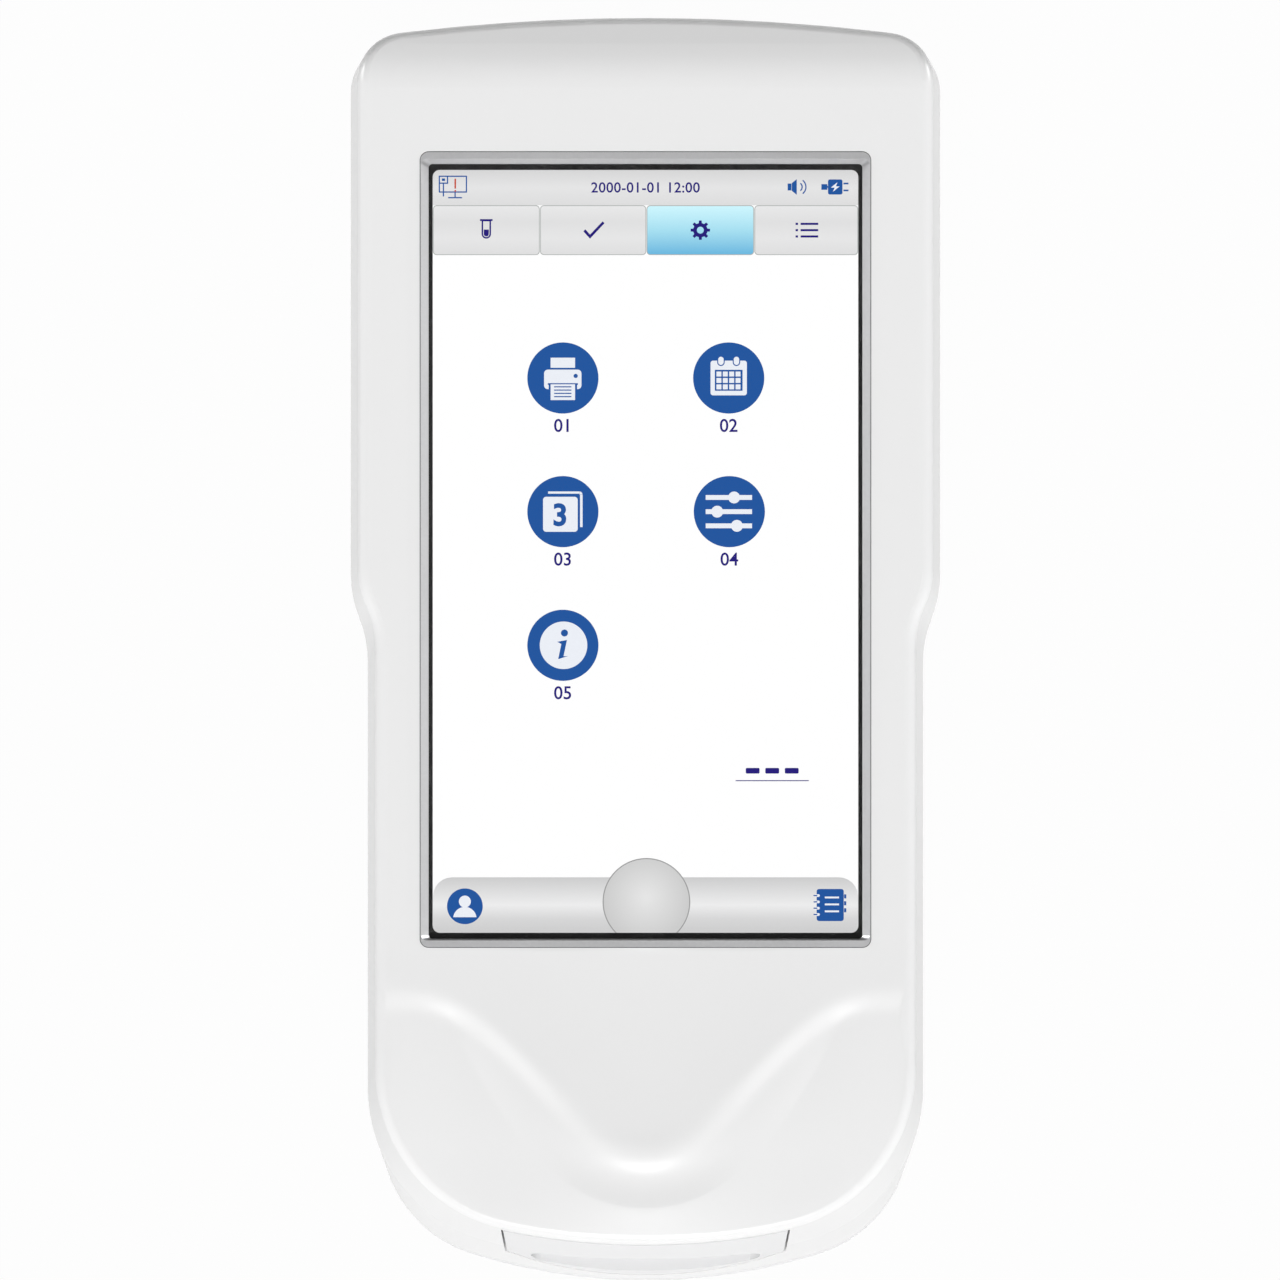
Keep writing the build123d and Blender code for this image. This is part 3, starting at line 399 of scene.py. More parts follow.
def moulded(name, tint, roughness, grain=2400.0, depth=0.004 * MM, unevenness=0.02):
    """Moulded plastic: a fine spark-eroded grain, and a tone that wanders slightly."""
    made = Finish(name)
    place = made.place()
    broad = made.noise(place, 34.0, 3.0)
    fine = made.noise(place, grain)
    tone = made.mix(broad, shade(tint, 1 - unevenness), shade(tint, 1 + unevenness))
    rough = roughness + (broad - 0.5) * 0.08 + (fine - 0.5) * 0.06
    normal = made.bump(fine, depth, 0.6)
    return made.finish(made.principled(Base_Color=tone, Roughness=rough, Normal=normal))


def sheet_metal(name, tint, roughness, direction=(40.0, 900.0, 900.0), metallic=1.0):
    """Rolled or turned metal with fine lines along one axis."""
    made = Finish(name)
    place = made.place()
    lines = made.noise(made.stretched(place, direction), 3.0, 3.0)
    cloud = made.noise(place, 60.0)
    tone = made.mix(lines, shade(tint, 0.93), shade(tint, 1.05))
    rough = roughness + (lines - 0.5) * 0.12 + (cloud - 0.5) * 0.08
    normal = made.bump(lines, 0.002 * MM, 0.5)
    surface = made.principled(Base_Color=tone, Roughness=rough, Metallic=metallic, Normal=normal)
    return made.finish(surface)


def circuit_board(name, tint):
    """Solder mask with copper tracks under it and scattered pads."""
    made = Finish(name)
    place = made.place()
    cells = made.node("ShaderNodeTexVoronoi", {"Vector": place, "Scale": 420.0},
                      {"distance": "MANHATTAN", "feature": "DISTANCE_TO_EDGE"}).give("Distance")
    track = (cells * 9.0).clamped()
    dots = made.node("ShaderNodeTexVoronoi", {"Vector": place, "Scale": 300.0}).give("Distance")
    pad = ((0.16 - dots) * 30.0).clamped()
    mask = made.mix(track, shade(tint, 1.8), tint)
    tone = made.mix(pad, mask, (0.62, 0.6, 0.52))
    normal = made.bump(track, 0.02 * MM, 0.4)
    return made.finish(made.principled(Base_Color=tone, Roughness=0.35 + track * 0.1, Normal=normal))


def amber_film(name):
    """Amber film with the lead's copper tracks showing through."""
    made = Finish(name)
    across = made.place().part("X")
    wave = (across * (tau / (0.8 * MM))).math("SINE") * 2.0 + 0.5
    tone = made.mix(wave.clamped(), (0.42, 0.16, 0.02), (0.62, 0.3, 0.08))
    return made.finish(made.principled(Base_Color=tone, Roughness=0.3 + wave.clamped() * 0.1))


def clear_glass(name):
    """Clear cover glass."""
    made = Finish(name)
    smear = made.noise(made.place(), 18.0)
    rough = (smear - 0.4).clamped() * 0.02
    surface = made.principled(Base_Color=(1.0, 1.0, 1.0), Roughness=rough, IOR=1.45, Transmission_Weight=1.0)
    return made.finish(surface)


def lit(name, tint, strength, fall=None):
    """A lit part of the picture, with an optional run of tones along the deck."""
    made = Finish(name)
    if fall:
        low, high, stops = fall
        along = (made.place().up_deck() - low) / (high - low)
        tint = made.ramp(along.clamped(), stops)
    else:
        grid = made.noise(made.place(), 900.0, 1.0)
        tint = made.mix(grid, shade(tint, 0.99), shade(tint, 1.01))
    return made.finish(made.emission(tint, strength))


def set_material(thing, material):
    """Puts one material in every slot of an object."""
    if not thing.data.materials:
        thing.data.materials.append(material)
    for index in range(len(thing.data.materials)):
        thing.data.materials[index] = material


def dress(names, material):
    """Gives the CAD nodes that a line of text names a finished material."""
    for name in names.split():
        set_material(CAD_NODES[name], material)


def link_piece(name, mesh, material, body):
    """Adds a finished mesh as a piece that rides on a body."""
    thing = added(name, mesh)
    set_material(thing, material)
    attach(thing, body)
    return thing


def disc(x, y, radius, count=48, start=0.0, end=tau):
    """Points round a circle or a part of one."""
    closed = abs(end - start) >= tau - 1e-6
    turns = [start + (end - start) * i / count for i in range(count if closed else count + 1)]
    return [(x + radius * cos(turn), y + radius * sin(turn)) for turn in turns]


def rounded(x, y, width, height, radius, corners=(True, True, True, True)):
    """Outline of a rectangle with round corners, from the top right one round to the left."""
    points = []
    for index, (sx, sy) in enumerate(((1, 1), (-1, 1), (-1, -1), (1, -1))):
        if not corners[index] or radius <= 0:
            points.append((x + sx * width / 2, y + sy * height / 2))
            continue
        middle = (x + sx * (width / 2 - radius), y + sy * (height / 2 - radius))
        begin = index * pi / 2
        points += disc(*middle, radius, 6, begin, begin + pi / 2)
    return points


def bar(x0, y0, x1, y1):
    """A plain rectangle from corner to corner."""
    return [(x1, y1), (x0, y1), (x0, y0), (x1, y0)]


def moved(outline, middle):
    """An outline shifted by a middle."""
    return [(x + middle[0], y + middle[1]) for x, y in outline]


class Picture:
    """Thin plates of one colour, in millimetres from the screen's middle, in layers over the display."""

    def __init__(self, sizes):
        self.sizes = sizes
        self.mesh = bmesh.new()

    def place(self, x, y, layer, top):
        rise = CELL_TOP + layer * self.sizes.layer + (self.sizes.plate if top else 0.0)
        return deck_point(x * MM, SCREEN_MIDDLE + y * MM, rise)

    def plate(self, outline, layer):
        """A closed plate over an outline."""
        high = [self.mesh.verts.new(self.place(x, y, layer, True)) for x, y in outline]
        low = [self.mesh.verts.new(self.place(x, y, layer, False)) for x, y in outline]
        self.mesh.faces.new(high)
        self.mesh.faces.new(low[::-1])
        for i in range(len(outline)):
            j = (i + 1) % len(outline)
            self.mesh.faces.new((high[i], low[i], low[j], high[j]))

    def plates(self, middle, shapes):
        """Closed plates, each given as a layer and an outline round the middle."""
        for layer, outline in shapes:
            self.plate(moved(outline, middle), layer)

    def level(self, middle, layer, *outlines):
        """Closed plates of one layer round the middle."""
        self.plates(middle, [(layer, outline) for outline in outlines])

    def ring(self, outside, inside, layer):
        """A closed band between two outlines with as many points."""
        loops = []
        for outline in (outside, inside):
            for top in (True, False):
                loops.append([self.mesh.verts.new(self.place(x, y, layer, top)) for x, y in outline])
        out_high, out_low, in_high, in_low = loops
        for i in range(len(outside)):
            j = (i + 1) % len(outside)
            for one, two in ((out_high, out_low), (in_high, out_high), (in_low, in_high), (out_low, in_low)):
                self.mesh.faces.new((one[i], two[i], two[j], one[j]))

    def digits(self, text, x, y, height, layer, spacing=1.0, weight=0.012):
        """Plain digits of a height, centred on a place."""
        curve = bpy.data.curves.new("digits", "FONT")
        curve.body = text
        curve.align_x = "CENTER"
        curve.space_character = spacing
        curve.extrude = 0.5
        curve.offset = weight
        curve.resolution_u = 4
        writer = added("digits", curve)
        bpy.context.view_layer.update()
        shape = bpy.data.meshes.new_from_object(writer.evaluated_get(bpy.context.evaluated_depsgraph_get()))
        tall = max(vertex.co.y for vertex in shape.vertices)
        scale = height / tall
        made = []
        for vertex in shape.vertices:
            spot = (x + vertex.co.x * scale, y - height / 2 + vertex.co.y * scale)
            made.append(self.mesh.verts.new(self.place(*spot, layer, vertex.co.z > 0)))
        for face in shape.polygons:
            corners = [made[index] for index in face.vertices]
            if len(set(corners)) == len(corners) and self.mesh.faces.get(corners) is None:
                self.mesh.faces.new(corners)
        bpy.data.objects.remove(writer)
        bpy.data.curves.remove(curve)
        bpy.data.meshes.remove(shape)

    def finish(self, name, material, slot="display_cell"):
        bmesh.ops.remove_doubles(self.mesh, verts=self.mesh.verts, dist=1e-7)
        bmesh.ops.recalc_face_normals(self.mesh, faces=self.mesh.faces)
        mesh = bpy.data.meshes.new(name)
        self.mesh.to_mesh(mesh)
        self.mesh.free()
        link_piece(name, mesh, material, "housing")


# Places and sizes on the picture, in millimetres from its middle.
ICON_RADIUS = 5.65
LABEL_DROP = 7.5
LABEL_HEIGHT = 2.05
BAR_LINE = 54.9
STATUS_LINE = 57.8
CLOCK_LINE = 57.75
CLOCK_HEIGHT = 1.62
VALUE_DASHES = (17.0, 20.1, 23.2)
VALUE_LINE = -34.8
TAB_LINE = 47.0
TAB_EDGES = (-33.75, -16.75, 0.15, 17.25, 33.75)
TAB_MIDDLES = [((left + right) / 2, (BAR_LINE + TAB_LINE) / 2)
               for left, right in zip(TAB_EDGES, TAB_EDGES[1:])]
DOCK_TOP = -51.7
HOME_MIDDLE = (0.15, -55.6)
HOME_RADIUS = 6.95
HOME_RIM = 0.16


def printer_sign():
    """White and blue plates of a printer with a written sheet, each a layer and an outline."""
    rows = [(7, bar(-1.4, -1.49 - 0.52 * step, 1.35, -1.31 - 0.52 * step)) for step in range(4)]
    white = [(4, bar(-1.95, 1.62, 1.93, 3.22)), (4, rounded(-0.02, -0.22, 5.93, 3.1, 0.6)),
             (6, bar(-1.95, -3.5, 1.93, -1.0))]
    blue = [(5, rounded(0, -0.96, 4.8, 0.28, 0.1)), (5, bar(-2.25, -1.9, 2.25, -0.96)),
            (5, disc(2.03, 0.33, 0.34, 24))]
    return white, blue + rows


def calendar_sign():
    """White and blue plates of a calendar leaf with twelve days and two rings."""
    corners = [(-1.94 + 1.01 * column, -1.8 + 1.02 * row) for column in range(4) for row in range(3)]
    days = [(6, bar(x, y, x + 0.78, y + 0.78)) for x, y in corners]
    rings = [(6, rounded(x, 2.72, 0.86, 1.3, 0.43)) for x in (-1.23, 1.23)]
    loops = [(5, rounded(x, 2.72, 1.2, 1.65, 0.6)) for x in (-1.23, 1.23)]
    return [(4, rounded(0, 0, 5.76, 5.5, 0.4))] + days + rings, [(5, bar(-2.2, -2.03, 2.2, 1.3))] + loops


def pages_sign():
    """White plates of a stack of pages."""
    corner = disc(2.63, 2.73, 0.47, 12, 0.0, pi / 2) + [(2.63, 2.73)]
    edges = [bar(-2.35, 2.85, 2.6, 3.2), bar(2.72, -2.45, 3.12, 2.7), corner]
    return [(4, outline) for outline in (rounded(-0.4, -0.42, 5.5, 5.55, 0.5), *edges)], []


def sliders_sign():
    """White plates of three sliders."""
    white = []
    for y, knob in ((2.25, 0.76), (0.0, -1.92), (-2.25, 1.2)):
        white += [(4, bar(-3.75, y - 0.38, 3.6, y + 0.38)), (5, disc(knob, y, 0.94, 32))]
    return white, []


def facts_sign():
    """A white disc and the blue plates of a slanting letter i."""
    stroke = [(0.65, 0.85), (-0.9, 0.55), (-0.25, 0.2), (-0.75, -2.2), (0.85, -1.7), (0.1, -1.75)]
    return [(4, disc(0.1, 0, 3.77, 64))], [(5, disc(0.25, 1.95, 0.56, 24)), (5, stroke)]


def user_sign():
    """White and blue plates of a head and shoulders."""
    white = [(6, disc(0, 0.75, 0.95, 32)), (6, disc(0, -1.95, 1.85, 32, 0.12, pi - 0.12))]
    return white, [(5, disc(0, 0, 2.84, 64))]


def book_sign():
    """White and blue plates of a ring book."""
    white, blue = [], [(5, rounded(0.1, 0, 4.3, 5.1, 0.4))]
    for y in (1.5, 0.5, -0.5, -1.5):
        white.append((6, rounded(-2.0, y, 0.9, 0.42, 0.2)))
        blue.append((7, rounded(-2.25, y, 0.62, 0.2, 0.1)))
    for y in (1.2, 0.1, -1.0):
        white.append((6, bar(-0.75, y - 0.14, 1.5, y + 0.14)))
        blue.append((5, bar(2.3, y - 0.15, 2.65, y + 0.5)))
    return white, blue


ICONS = (((-13.1, 27.5), printer_sign), ((13.2, 27.5), calendar_sign), ((-13.1, 6.3), pages_sign),
         ((13.3, 6.3), sliders_sign), ((-13.1, -14.9), facts_sign))
DOCK_SIGNS = (((-28.65, -56.3), user_sign), ((29.2, -56.1), book_sign))


class ANALYZER_OT_screen_ground(Operator):
    """Make the lit ground of the screen and the black printed edge under the glass"""

    bl_idname = "analyzer.screen_ground"
    bl_label = "Screen ground"

    def execute(self, context):
        sizes = context.scene.analyzer_screen
        wide, tall = sizes.lit_width / MM, sizes.lit_length / MM
        lit_outline = rounded(0, 0, wide, tall, sizes.lit_corner / MM)
        ground = Picture(sizes)
        ground.plate(lit_outline, 1)
        ground.finish("screen_ground", lit("screen_white", (1.0, 1.0, 1.0), sizes.brightness))
        half = ((GLASS_HIGH[0] - GLASS_LOW[0]) / MM - 0.02, (GLASS_HIGH[1] - GLASS_LOW[1]) / MM - 0.02)
        edge = Picture(sizes)
        edge.ring(rounded(0, 0, *half, 0.6), lit_outline, 0)
        print_rise = (GLASS_LOW[2] - CELL_TOP) / sizes.layer + 1.0
        bmesh.ops.translate(edge.mesh, verts=edge.mesh.verts, vec=DECK_NORMAL * print_rise * sizes.layer)
        black = moulded("printed_black", (0.008, 0.008, 0.009), 0.4)
        edge.finish("glass_printed_edge", black, "screen_glass")
        return {"FINISHED"}


class ANALYZER_OT_screen_bars(Operator):
    """Make the status bar, the tabs, the dock and the round home button of the picture"""

    bl_idname = "analyzer.screen_bars"
    bl_label = "Screen bars"

    def execute(self, context):
        sizes = context.scene.analyzer_screen
        glow = sizes.brightness
        wide, top = sizes.lit_width / MM, sizes.lit_length / MM / 2
        corner = sizes.lit_corner / MM

        def run(low, high, *tones):
            """Tones spread evenly up the picture, from a low to a high place."""
            stops = [(i / (len(tones) - 1), tone) for i, tone in enumerate(tones)]
            return SCREEN_MIDDLE + low * MM, SCREEN_MIDDLE + high * MM, stops

        def greys(*levels):
            return [(level, level, level * 1.005) for level in levels]

        upper = (True, True, False, False)
        status = Picture(sizes)
        status.plate(rounded(0, (BAR_LINE + top) / 2, wide, top - BAR_LINE, corner, corners=upper), 2)
        tones = run(BAR_LINE, top, *greys(0.72, 0.78, 0.67))
        status.finish("screen_status_bar", lit("status_grey", None, glow, tones))
        tabs, active, lines = Picture(sizes), Picture(sizes), Picture(sizes)
        for index, (left, right) in enumerate(zip(TAB_EDGES, TAB_EDGES[1:])):
            span, rise = right - left, BAR_LINE - TAB_LINE
            lines.plate(rounded(*TAB_MIDDLES[index], span - 0.05, rise, 0.6), 3)
            picture = active if index == 2 else tabs
            picture.plate(rounded(*TAB_MIDDLES[index], span - 0.3, rise - 0.25, 0.5), 4)
        lines.finish("screen_tab_lines", lit("line_grey", (0.42, 0.44, 0.43), glow))
        tones = run(TAB_LINE, BAR_LINE, *greys(0.73, 0.79, 0.74, 0.81))
        tabs.finish("screen_tabs", lit("tab_grey", None, glow, tones))
        tones = run(TAB_LINE, BAR_LINE, (0.13, 0.46, 0.73), (0.38, 0.74, 0.88), (0.62, 0.93, 1.0))
        active.finish("screen_active_tab", lit("tab_blue", None, glow, tones))
        dock = Picture(sizes)
        dock.plate(rounded(0, (DOCK_TOP - top) / 2, wide - 0.1, DOCK_TOP + top, 3.0, corners=upper), 2)
        tones = run(-top, DOCK_TOP, *greys(0.6, 0.67, 0.84, 0.72, 0.6))
        dock.finish("screen_dock", lit("dock_grey", None, glow, tones))
        self.home(sizes, top)
        return {"FINISHED"}

    def home(self, sizes, top):
        """The round button, cut off by the lower edge of the screen."""
        x, y = HOME_MIDDLE
        inner = HOME_RADIUS - HOME_RIM
        rim, face = Picture(sizes), Picture(sizes)
        for picture, radius, layer in ((rim, HOME_RADIUS, 3), (face, inner, 4)):
            begin = -asin((y + top) / radius)
            picture.plate(disc(x, y, radius, 72, begin, pi - begin), layer)
        rim.finish("screen_home_rim", lit("rim_grey", (0.3, 0.3, 0.3), sizes.brightness))
        made = Finish("home_grey")
        spot = made.place()
        across = (spot.part("X") - x * MM) / (inner * MM)
        along = (spot.up_deck() - SCREEN_MIDDLE - y * MM) / (inner * MM) - 0.1
        away = (across * across + along * along) ** 0.5
        tone = made.ramp(away.clamped(), [(0.0, (0.79, 0.79, 0.79)), (1.0, (0.6, 0.6, 0.6))])
        face.finish("screen_home_face", made.finish(made.emission(tone, sizes.brightness)))


class ANALYZER_OT_screen_symbols(Operator):
    """Draw the round symbols, the dock signs and the status signs of the picture"""

    bl_idname = "analyzer.screen_symbols"
    bl_label = "Screen symbols"

    def execute(self, context):
        sizes = context.scene.analyzer_screen
        colours = context.scene.analyzer_colours
        glow = sizes.brightness
        blue, white, over, alert = (Picture(sizes) for _ in range(4))
        for middle, sign in ICONS:
            blue.plate(disc(*middle, ICON_RADIUS, 72), 3)
            white_shapes, blue_shapes = sign()
            white.plates(middle, white_shapes)
            over.plates(middle, blue_shapes)
            if sign is pages_sign:
                over.digits("3", middle[0] - 0.45, middle[1] - 0.4, 3.5, 5, weight=0.03)
        for middle, sign in DOCK_SIGNS:
            white_shapes, blue_shapes = sign()
            white.plates(middle, white_shapes)
            blue.plates(middle, blue_shapes)
        self.link(blue, alert, (-30.55, STATUS_LINE))
        self.loudspeaker(blue, (23.9, STATUS_LINE))
        self.supply(blue, white, (30.1, STATUS_LINE))
        blue.finish("screen_blue_discs", lit("icon_blue", colours.icon, glow))
        white.finish("screen_white_signs", lit("sign_white", (0.83, 0.86, 0.92), glow))
        over.finish("screen_blue_details", lit("detail_blue", colours.icon, glow))
        alert.finish("screen_alert_mark", lit("alert_red", colours.alert, glow))
        return {"FINISHED"}

    def link(self, blue, alert, middle):
        """A screen on a stand with a red mark."""
        frames = ((4, rounded(0, 0.45, 4.5, 2.7, 0.1), rounded(0, 0.45, 4.1, 2.3, 0.05)),
                  (5, bar(-2.25, 0.5, -0.75, 1.8), bar(-2.05, 0.7, -0.95, 1.6)))
        for layer, outside, inside in frames:
            blue.ring(moved(outside, middle), moved(inside, middle), layer)
        blue.level(middle, 5, bar(-1.75, 0.95, -1.25, 1.35), bar(-1.6, -1.5, -1.4, 0.55),
                   bar(0.25, -1.65, 0.45, -0.85), bar(-0.75, -1.8, 1.45, -1.6))
        alert.level(middle, 6, bar(0.25, -0.25, 0.5, 1.3), bar(0.25, -0.75, 0.5, -0.5))

    def loudspeaker(self, blue, middle):
        horn = [(0.1, 1.25), (-0.7, 0.6), (-0.7, -0.6), (0.1, -1.25)]
        waves = [disc(0.2, 0, radius + 0.1, 16, -0.9, 0.9) + disc(0.2, 0, radius - 0.1, 16, -0.9, 0.9)[::-1]
                 for radius in (0.75, 1.35)]
        blue.level(middle, 4, bar(-1.35, -0.55, -0.75, 0.55), horn, *waves)

    def supply(self, blue, white, middle):
        """A battery with a plug and a flash."""
        flash = [(0.35, 0.75), (-0.7, -0.1), (-0.1, -0.1), (-0.35, -0.75), (0.7, 0.1), (0.1, 0.1)]
        prongs = [bar(1.3, y - 0.13, 2.1, y + 0.13) for y in (-0.55, 0.55)]
        blue.level(middle, 4, rounded(0, 0, 2.3, 2.4, 0.3), bar(-2.2, -0.45, -1.25, 0.45),
                   bar(-1.6, -0.15, -1.0, 0.15), *prongs)
        white.level(middle, 5, flash)


class ANALYZER_OT_screen_labels(Operator):
    """Write the plain digits and draw the tab signs in navy"""

    bl_idname = "analyzer.screen_labels"
    bl_label = "Screen labels"

    def execute(self, context):
        sizes = context.scene.analyzer_screen
        ink = Picture(sizes)
        ink.digits("2000-01-01 12:00", 0.0, CLOCK_LINE, CLOCK_HEIGHT, 5, 1.05)
        for index, (middle, _) in enumerate(ICONS):
            ink.digits(f"{index + 1:02d}", middle[0], middle[1] - LABEL_DROP, LABEL_HEIGHT, 4)
        for middle, sign in zip(TAB_MIDDLES, (self.tube, self.tick, self.cogwheel, self.rows)):
            sign(ink, middle)
        for x in VALUE_DASHES:
            ink.plate(rounded(x, VALUE_LINE, 2.2, 0.9, 0.2), 4)
        ink.plate(bar(14.3, VALUE_LINE - 1.65, 25.9, VALUE_LINE - 1.5), 4)
        colours = context.scene.analyzer_colours
        ink.finish("screen_ink", lit("ink_navy", colours.ink, sizes.brightness))
        return {"FINISHED"}

    def tube(self, ink, middle):
        def glass(radius, top):
            return disc(0, -0.6, radius, 12, pi, tau) + [(radius, top), (-radius, top)]

        ink.ring(moved(glass(0.75, 1.5), middle), moved(glass(0.5, 1.4), middle), 5)
        ink.level(middle, 5, bar(-1.0, 1.45, 1.0, 1.75), glass(0.4, 0.1))

    def tick(self, ink, middle):
        stroke = [(1.5, 1.4), (-0.5, -0.7), (-1.25, 0.15), (-1.55, -0.2), (-0.5, -1.35), (1.8, 1.1)]
        ink.level(middle, 5, stroke)

    def cogwheel(self, ink, middle):
        teeth = 8
        profile = ((-0.22, 1.15), (-0.14, 1.55), (0.14, 1.55), (0.22, 1.15))
        turns = [(tau * step / teeth + shift, radius) for step in range(teeth) for shift, radius in profile]
        rim = [(radius * cos(turn), radius * sin(turn)) for turn, radius in turns]
        hub = [(0.55 * cos(turn), 0.55 * sin(turn)) for turn, _ in turns]
        ink.ring(moved(rim, middle), moved(hub, middle), 5)

    def rows(self, ink, middle):
        for y in (-1, 0, 1):
            ink.level(middle, 5, bar(-1.7, y - 0.17, -1.3, y + 0.17), bar(-0.9, y - 0.17, 1.9, y + 0.17))


class ANALYZER_OT_finishes(Operator):
    """Give every CAD piece its finished material"""

    bl_idname = "analyzer.finishes"
    bl_label = "Finishes"

    def execute(self, context):
        colours = context.scene.analyzer_colours
        dress("upper_cover lower_housing battery_cover drawer_front",
              moulded("housing_white", colours.housing, 0.43, grain=2200.0, depth=0.003 * MM,
                      unevenness=0.006))
        dress("display_bezel",
              sheet_metal("bezel_silver", colours.bezel, 0.42, direction=(700.0, 700.0, 700.0),
                          metallic=0.75))
        dress("touch_panel", clear_glass("cover_glass"))
        dress("display_bracket board_connectors battery_contacts speaker dc_socket power_switch "
              "scanner_module left_rail right_rail sensor_head drawer_switch",
              moulded("inner_black", colours.black, 0.5))
        dress("display_gasket",
              moulded("gasket_foam", (0.015, 0.015, 0.015), 0.95, grain=900.0, depth=0.05 * MM))
        dress("rubber_feet",
              moulded("foot_rubber", (0.025, 0.025, 0.027), 0.8, grain=1500.0, depth=0.02 * MM))
        dress("power_button", moulded("button_grey", colours.button, 0.45))
        dress("cartridge_tray press_carriage", moulded("tray_grey", colours.tray, 0.45))
        steel = sheet_metal("screw_steel", (0.6, 0.6, 0.61), 0.3, direction=(500.0, 500.0, 60.0))
        dress("case_screws bracket_screws board_screws io_screws module_screws lead_screw guide_rods "
              "detent_spring", steel)
        dress("board_shields usb_socket stepper_motor lcd_module",
              sheet_metal("shield_tin", (0.68, 0.68, 0.68), 0.35))
        dress("module_frame", sheet_metal("chassis_steel", (0.55, 0.56, 0.57), 0.4))
        dress("heater_plate", sheet_metal("plate_aluminium", (0.76, 0.76, 0.77), 0.32))
        dress("contact_pins", sheet_metal("contact_gold", (0.82, 0.6, 0.24), 0.25))
        dress("main_board io_board", circuit_board("board_green", colours.board))
        dress("display_flex", amber_film("flex_amber"))
        dress("battery_pack",
              moulded("battery_sleeve", colours.sleeve, 0.22, grain=300.0, depth=0.03 * MM))
        dress("scanner_window",
              moulded("window_dark", (0.02, 0.003, 0.004), 0.08, grain=200.0, depth=0.001 * MM))
        return {"FINISHED"}


# How the nose's surface is cut into triangles.
CREASE_STEPS = 128  # pieces of each line along the scoop's crease
CREASE_SHARE = 0.985  # share of the scoop's width that these lines span
ROW_RATIO = 0.866  # distance between rows of points, as a share of the spacing
ROOM_RATIO = 0.45  # room left round the outline and the crease, as a share of the spacing
SMOOTH_DOT = 0.94  # least likeness of two normals that belong to one smooth surface


def relief_tree(sizes, material):
    """The nose as a rule: how far each place on the deck plane rises out of it."""
    names = [name for name in sizes.__annotations__ if name not in ("spacing", "crease")]
    shape = Shape("nose_relief", {name: getattr(sizes, name) for name in names})
    size = shape.size
    spot = shape.node("GeometryNodeInputPosition").give("Position")
    across = abs(spot.part("X"))
    along = spot.up_deck()

    def bell(half_width):
        """One in the middle, falling smoothly to nothing at the half width."""
        turn = (across / half_width).math("MINIMUM", 1.0) * pi
        return turn.math("COSINE") * 0.5 + 0.5

    # The tongue curls up out of the deck, and the wings and the crown lie outside it.
    reach = (size.start - along).math("MAXIMUM", 0.0)
    bend = (size.wing_bend - along).math("MAXIMUM", 0.0)
    tongue = size.curl * reach * reach * (1.0 - size.tongue_sag * bell(size.sag_half))
    wing = size.wing_rise * reach - size.wing_fall * bend * bend - size.wing_step
    rise = ((size.crown_start - along) / size.crown_run).ease()
    swell = size.swell * bell(size.swell_half) * ((along - size.swell_end) / size.swell_run).ease()
    crown = (size.crown_height * bell(size.crown_half) + swell) * rise

    # The scoop is deepest a little above its crease, and hollows lie beside it.
    middle = bell(size.scoop_fade)
    share = (across / size.scoop_half).math("MINIMUM", 1.0)
    scoop_edge = size.scoop_top - size.scoop_drop * (1.0 - share ** size.scoop_power)
    left = 1.0 - ((along - scoop_edge) / size.scoop_width).clamped()
    floor = 1.0 - size.scoop_floor * ((along - scoop_edge) / size.floor_run - 0.3).ease()
    scoop = size.scoop_depth * (1.0 - left * left) * floor * middle
    sides = ((size.hollow_side - across) / size.hollow_run).ease()
    front = ((along - size.hollow_front) / size.hollow_run).ease()
    hollow = size.hollow * sides * front * (1.0 - middle)

    # The step leads from the tongue to what lies outside. Beside the scoop's middle, a part of it falls
    # evenly on to the crease.
    step_top = size.tongue_top - size.tongue_drop * bell(size.tongue_half) + size.step_lead
    fallen = step_top - along
    step_width = size.step_width * (middle * size.step_widening + 1.0)
    slope_run = (step_top - scoop_edge).math("MAXIMUM", size.step_width)
    creased = ((size.scoop_half - across) / size.crease_run).ease() * size.slope_share * (1.0 - middle)
    outside = (fallen / step_width).ease() * (1.0 - creased) + (fallen / slope_run).clamped() * creased
    height = (1.0 - outside) * tongue + outside * (wing + crown - scoop - hollow)
    lift = shape.node("ShaderNodeVectorMath", {0: DECK_NORMAL, "Scale": height}, {"operation": "SCALE"})
    raised = shape.node("GeometryNodeSetPosition",
                        {"Geometry": shape.entry.give("Geometry"), "Offset": lift.give("Vector")})
    shape.close(raised.give("Geometry"), material)
    return shape


def island(mesh, place):
    """The faces that hang together with the vertex nearest to a place."""
    seed = min(mesh.verts, key=lambda vertex: (vertex.co - place).length)
    found, waiting = dict.fromkeys(seed.link_faces), list(seed.link_faces)
    while waiting:
        for vertex in waiting.pop().verts:
            fresh = [face for face in vertex.link_faces if face not in found]
            found.update(dict.fromkeys(fresh))
            waiting += fresh
    return list(found)


def border_of(faces):
    """The vertices round an area of faces, in order."""
    inside = set(faces)
    follows = {}
    for face in faces:
        for loop in face.loops:
            if sum(other in inside for other in loop.edge.link_faces) == 1:
                follows[loop.vert] = loop.link_loop_next.vert
    first = next(iter(follows))
    order, vertex = [first], follows[first]
    while vertex is not first:
        order.append(vertex)
        vertex = follows[vertex]
    return order


def row_ends(outline, level):
    """The outermost places where an outline crosses a level, or None."""
    crossings = []
    for (x0, y0), (x1, y1) in zip(outline, outline[1:] + outline[:1]):
        if (y0 <= level) != (y1 <= level):
            crossings.append(x0 + (x1 - x0) * (level - y0) / (y1 - y0))
    return (min(crossings), max(crossings)) if crossings else None


